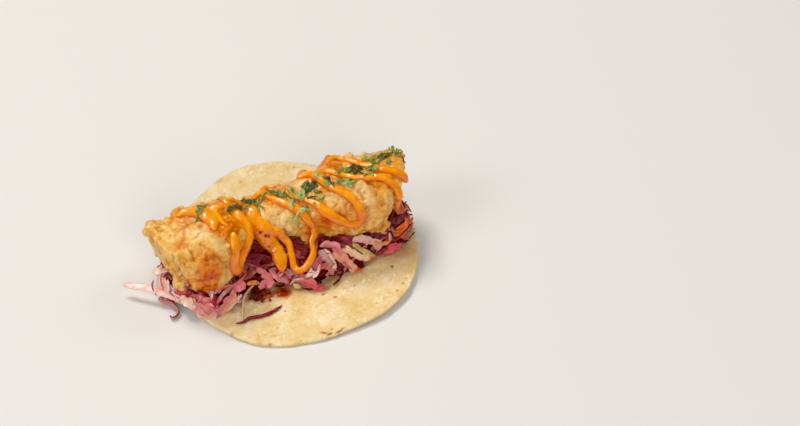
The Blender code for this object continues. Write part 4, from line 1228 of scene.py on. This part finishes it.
# The three loose shreds, which the CAD has as strips: line, half width, half thickness, flesh, skin, slot,
# how far from its ends each narrows, then roll and twist in degrees.
LOOSE_SHREDS = {
    "shred_long": (
        ((-100, -1.5, 6.5), (-94, -5.5, 7.6), (-87, -10.5, 8.2), (-81, -15.5, 7.8), (-75, -20.5, 7), (-70, -24, 6.8)),
        1.8, 0.55, srgb(250, 208, 190), srgb(236, 150, 136), "pink_cabbage", 3.5, 20, 10,
    ),
    "shred_curl": (
        ((-77, -17.2, 4.2), (-80, -15.7, 4.6), (-82.3, -16.2, 4.0), (-81, -18, 3.2), (-77.5, -19.7, 2.6),
         (-75.7, -23.2, 2), (-75.3, -26.7, 1.6), (-76.9, -29.7, 1.4), (-79.5, -30.1, 1.4), (-80.3, -28.1, 1.6)),
        1.3, 0.6, srgb(206, 136, 124), srgb(84, 0, 30), "purple_cabbage", 1.5, 10, 60,
    ),
    "shred_flat": (
        ((-47.8, -47, 3.1), (-44, -47.4, 3.1), (-39.3, -45.8, 3.1), (-35.5, -46.1, 3.0), (-30.5, -45.9, 2.9),
         (-26, -44.9, 2.9), (-21.5, -43.1, 2.9), (-19.4, -42, 2.9)),
        1.15, 0.5, srgb(150, 40, 56), srgb(76, 0, 24), "purple_cabbage", 9.0, 0, 20,
    ),
}
# The pale thread that hangs from the heap onto the tortilla.
THREAD_LINE = ((-30, -26, 8), (-34, -28, 7), (-38, -31, 5), (-40, -35, 3.4), (-42, -40, 3), (-43, -45, 3))


def build_loose_shreds(material):
    draw = random.Random(5)
    for node, (line, half_width, thick, flesh, skin, slot, blunt, roll, twist) in LOOSE_SHREDS.items():
        bundle = Bundle()
        middles = smooth_path(line, 0.6)
        add_shred(
            bundle, middles, upright(len(middles)), half_width, thick, flesh, skin, draw,
            crinkle=0.1, cup=0.1, ragged=0.14, crumple=0.12, blunt=blunt,
            roll=math.radians(roll), twist=math.radians(twist), kind="leaf" if node == "shred_flat" else "rib",
        )
        piece = bundle.piece(node.replace("shred", "loose_shred"), material, slot)
        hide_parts(node)


def build_pale_thread(material):
    bundle = Bundle()
    middles = smooth_path(THREAD_LINE, 0.7)
    ups = np.tile((0.0, -0.3, 1.0), (len(middles), 1))
    add_shred(
        bundle, middles, ups, 0.6, 0.5, srgb(236, 196, 158), srgb(226, 160, 128), random.Random(8),
        crinkle=0.15, cup=0.0, ragged=0.08, crumple=0.05,
    )
    bundle.piece("pale_thread", material, "slaw")


def build_dark_crumbs(material):
    """The wet, nearly black scraps of cabbage that lie in the oil."""
    draw = random.Random(31)
    bundle = Bundle()
    for _ in range(DARK_CRUMBS):
        x, y = draw.gauss(-28.5, 2.6), draw.gauss(-29.5, 2.4)
        lift = float(tortilla_lift(np.array([x]), np.array([y]))[0])
        long, wide, tall = draw.uniform(0.7, 1.7), draw.uniform(0.5, 1.0), draw.uniform(0.4, 0.8)
        turn = Matrix.Rotation(draw.uniform(0, 3.1), 3, (draw.uniform(-0.4, 0.4), 0.2, 1))
        points, faces = ball((x, y, TORTILLA_THICKNESS + lift + 0.6 * tall), (long, wide, tall), turn)
        points = points + 0.35 * drift(points, 1.1, 81)
        tint = blend(srgb(70, 4, 8), srgb(150, 40, 10), draw.random() ** 2)
        bundle.add(points, faces, tint=np.tile(tint, (len(points), 1)), grain=points)
    bundle.piece("dark_crumbs", material, "purple_cabbage")


# ---- Coriander ----
# Chopped leaf and stalk lying on the sauce: x, y, half length, direction in degrees, how light, which is partly the
# leaf's own green and partly painted light and shade.

LEAVES = (
    (-53, -1, 3.0, 60, 0.6), (-52, 2, 2.2, 100, 0.15), (-55, -4, 1.8, 50, 0.8), (-50, 2, 1.6, 20, 0.5),
    (-40, 9, 1.3, 30, 0.4), (-35, -2, 2.8, 15, 0.1), (-32, -1, 2.0, 60, 0.25), (-27, 10, 3.0, 100, 0.1),
    (-25, 8, 2.4, 40, 0.15), (-24, 6, 2.4, -20, 0.35), (-26, 2, 2.6, 20, 0.55), (-22, 4, 2.6, 0, 0.15),
    (-19, 4, 2.6, 60, 0.75), (-19, 0, 2.8, 80, 0.8), (-16, 7, 2.6, 30, 0.7), (-17, 1, 1.8, -60, 0.6),
    (-13, 8, 2.4, 10, 0.6), (-9, 6, 3.6, -20, 0.4), (-6, 7, 3.0, 5, 0.6), (-4, 4, 2.8, -30, 0.6),
    (-2, 3, 2.2, -20, 0.4), (1, 5, 2.2, 75, 0.9), (-1, -4, 3.6, -70, 0.9), (-2, -7, 3.0, -100, 0.95),
    (0, 3, 1.8, 40, 0.6), (5, -2, 3.8, 45, 0.85), (8, 1, 2.6, 70, 0.5), (12, 1, 3.2, 20, 0.25),
    (10, 4, 3.0, 50, 0.15), (14, 2, 2.6, 60, 0.1), (17, 5, 2.4, 75, 0.85), (15, -3, 2.6, -40, 0.35),
    (10, -6, 2.4, 10, 0.12), (7, -10, 2.0, 30, 0.8), (10, -11, 1.2, 0, 0.6), (0, -11, 2.6, 30, 0.95),
    (3, -11, 2.2, 10, 0.9), (22, 1, 2.4, 80, 0.1), (23, -3, 1.8, 30, 0.15), (20, -4, 2.2, 100, 0.7),
    (14, -10, 2.2, 10, 0.8), (31, -4, 3.4, 60, 0.8), (28, -4, 2.4, 0, 0.5), (33, -7, 2.4, 20, 0.8),
    (35, -7, 2.2, -10, 0.7), (30, 2, 3.0, 30, 0.5), (34, 4, 3.2, 10, 0.6), (38, -1, 3.0, 70, 0.1),
    (38, 4, 2.6, 40, 0.1), (41, 1, 2.6, -50, 0.15), (46, -1, 2.6, 20, 0.7), (50, 3, 3.0, 50, 0.55),
    (51, 8, 3.0, 20, 0.75), (47, 8, 2.4, 10, 0.75), (57, 8, 3.0, 30, 0.25), (59, 7, 2.4, -10, 0.2),
    (62, 8, 2.4, 40, 0.3), (66, 8, 2.8, 20, 0.6), (65, 12, 2.6, 80, 0.65), (59, 2, 2.4, 60, 0.6),
    (68, 3, 2.2, 100, 0.2), (46, -5, 2.0, 30, 0.6), (49, -3, 1.8, -20, 0.65), (67, 6, 1.8, 60, 0.5),
)
STALKS = (
    ((-53, 2), (-54, -2), (-57, -6), 0.5, 0.6), ((-31, 13), (-27, 9), (-23, 5), 0.35, 0.1),
    ((-22, 2), (-18, 4), (-14, 8), 0.45, 0.7), ((1, 8), (4, 4), (3, 0), 0.5, 0.85),
    ((0, 4), (1, -1), (-1, -6), 0.6, 0.85), ((-3, -13), (0, -11), (5, -11), 0.7, 1.0),
    ((5, -3), (8, 1), (12, 6), 0.5, 0.5), ((12, -9), (15, -9), (17, -8), 0.7, 0.8),
    ((20, 2), (22, -3), (23, -8), 0.4, 0.3), ((40, -8), (44, -7), (48, -7), 0.5, 0.8),
    ((46, -3), (53, 3), (60, 8), 0.5, 0.5), ((38, 4), (40, -2), (42, -8), 0.4, 0.1),
)


def leaf_finish():
    f = Finish("coriander", 0.35, (0.1, 0.001, (0.7, 1.0, 0.2)))
    tone = f.plus(f.field("tone"), f.times(f.plus(f.noise(1.2, 3), -0.5), 0.9))
    # From a near-black green for painted shade up to a pale green for painted highlight.
    base = f.ramp(
        tone, (0.0, srgb(38, 42, 10)), (0.35, srgb(90, 100, 34)),
        (0.7, srgb(140, 152, 70)), (1.0, srgb(186, 196, 118)),
    )
    rough = f.band(f.noise(1.0), 0.3, 0.7, 0.25, 0.5)
    return f.set(Base_Color=base, Roughness=rough, Normal=f.bump(f.noise(0.6, 3), 0.18, 0.7))


LEAF_POINTS, LEAF_SCALE, LEAF_HALF_THICK = 30, 1.2, 0.09


def leaf_shape(draw, half_length):
    """A torn, lobed bit of leaf, flat in its own plane: points and faces of a thin solid."""
    lobes = draw.choice((3, 4, 5))
    phase = draw.uniform(0, 6.28)
    count = LEAF_POINTS
    narrow = draw.choice((0.30, 0.42, 0.62, 0.7))
    outline = []
    for i in range(count):
        a = 2 * math.pi * i / count
        r = 0.62 + 0.30 * abs(math.cos(0.5 * lobes * a + phase)) ** 0.6 + draw.uniform(-0.10, 0.10)
        outline.append((half_length * r * math.cos(a), narrow * half_length * r * math.sin(a)))
    fold, curl, bow = draw.uniform(-0.5, 0.5), draw.uniform(-0.35, 0.35), draw.uniform(-0.15, 0.3)

    def bent(x, y, z):
        return (x, y, z + fold * abs(y) + curl * y * x / half_length + bow * x * x / half_length
                + 0.12 * half_length * math.sin(3.1 * x + phase) * math.cos(2.7 * y))

    shares = (1.0, 0.66, 0.33)
    points = []
    for level in (LEAF_HALF_THICK, -LEAF_HALF_THICK):
        for share in shares:
            points += [bent(x * share, y * share, level * (0.4 if share == 1 else 1)) for x, y in outline]
        points.append(bent(0, 0, level))
    half = len(shares) * count + 1
    faces = []
    for s in range(count):
        n = (s + 1) % count
        for k in range(len(shares) - 1):
            a, b = k * count, (k + 1) * count
            faces.append((a + s, a + n, b + n, b + s))
            faces.append((half + a + n, half + a + s, half + b + s, half + b + n))
        inner = (len(shares) - 1) * count
        faces.append((inner + s, inner + n, half - 1))
        faces.append((half + inner + n, half + inner + s, 2 * half - 1))
        faces.append((s, half + s, half + n, n))
    return np.array(points), faces


def frame_at(normal, heading):
    """Three directions at a spot on a surface: along the heading, across it, and out."""
    along = Vector((math.cos(heading), math.sin(heading), 0))
    along = (along - normal * along.dot(normal)).normalized()
    return np.array((along, normal.cross(along), normal))


def build_herbs(top_tree, material):
    """Coriander dropped onto the fish and sauce, with scraps round the listed leaves."""
    draw = random.Random(12)
    bundle = Bundle()

    def drop(x, y):
        """The highest spot of fish or sauce at x, y, and its normal."""
        return top_tree.ray_cast(Vector((x, y, 80)), Vector((0, 0, -1)))[:2]

    def add_leaf(x, y, half_length, heading, tone):
        spot, normal = drop(x, y)
        if spot is None:
            return
        tilt = Vector((draw.gauss(0, 0.22), draw.gauss(0, 0.22), 0))
        normal = (normal * 0.5 + Vector((0, 0, 0.8)) + tilt).normalized()
        points, faces = leaf_shape(draw, half_length)
        points = points @ frame_at(normal, heading) + np.array(spot) + np.array(normal) * draw.uniform(0.35, 1.0)
        bundle.add(points, faces, tone=np.full(len(points), tone) + 0.12 * noise(points, 2.0, 61))

    for x, y, half_length, heading, tone in LEAVES:
        add_leaf(x, y, half_length * LEAF_SCALE, math.radians(heading), tone)
        for _ in range(draw.choice((0, 1, 1, 2))):
            add_leaf(
                x + draw.gauss(0, 1.8), y + draw.gauss(0, 1.6), half_length * draw.uniform(0.35, 0.7),
                math.radians(heading + draw.gauss(0, 50)), tone + draw.gauss(0, 0.15),
            )
    for *line, radius, tone in STALKS:
        middles = []
        for x, y, _ in smooth_path([(*p, 0) for p in line], 0.7):
            spot, _ = drop(x, y)
            if spot is not None:
                middles.append(np.array(spot) + (0, 0, radius + 0.5))
        middles = softened(np.array(middles), 6)
        points, faces, _, _ = ribbon(middles, upright(len(middles)), radius, radius, 8, boxy=1.0)
        bundle.add(points, faces, tone=np.full(len(points), tone) + 0.1 * noise(points, 2.0, 62))
    bundle.piece("coriander", material, "slaw")


# ---- Everything ----


def main():
    build_studio()
    place_camera()
    build_tortilla(tortilla_finish())
    batter = fish_finish()
    left = build_fish("fish_left", 100, batter, LEFT_BITS, LEFT_STAINS, LEFT_PALE, LEFT_FOLDS, (), 0.3)
    right = build_fish(
        "fish_right", 200, batter, RIGHT_BITS, RIGHT_STAINS, RIGHT_PALE_AND_PAINTED_LIGHT, RIGHT_FOLDS, RIGHT_FLUTES, 0.8
    )
    build_shade_core(shade_core_finish())
    fish_tree = tree_of(left, right)
    slaw_tree = tree_of(cad_mesh("slaw"))
    sauce = build_sauce(fish_tree, slaw_tree, sauce_finish())
    cabbage = cabbage_finish("cabbage", 0.45, 0.10, 0.30)
    build_slaw(cabbage, cabbage_finish("soaked_shaded_cabbage", 0.12, 0.3, 0.5))
    build_loose_shreds(cabbage)
    build_pale_thread(cabbage)
    build_dark_crumbs(cabbage)
    build_herbs(tree_of(left, right, sauce), leaf_finish())


main()
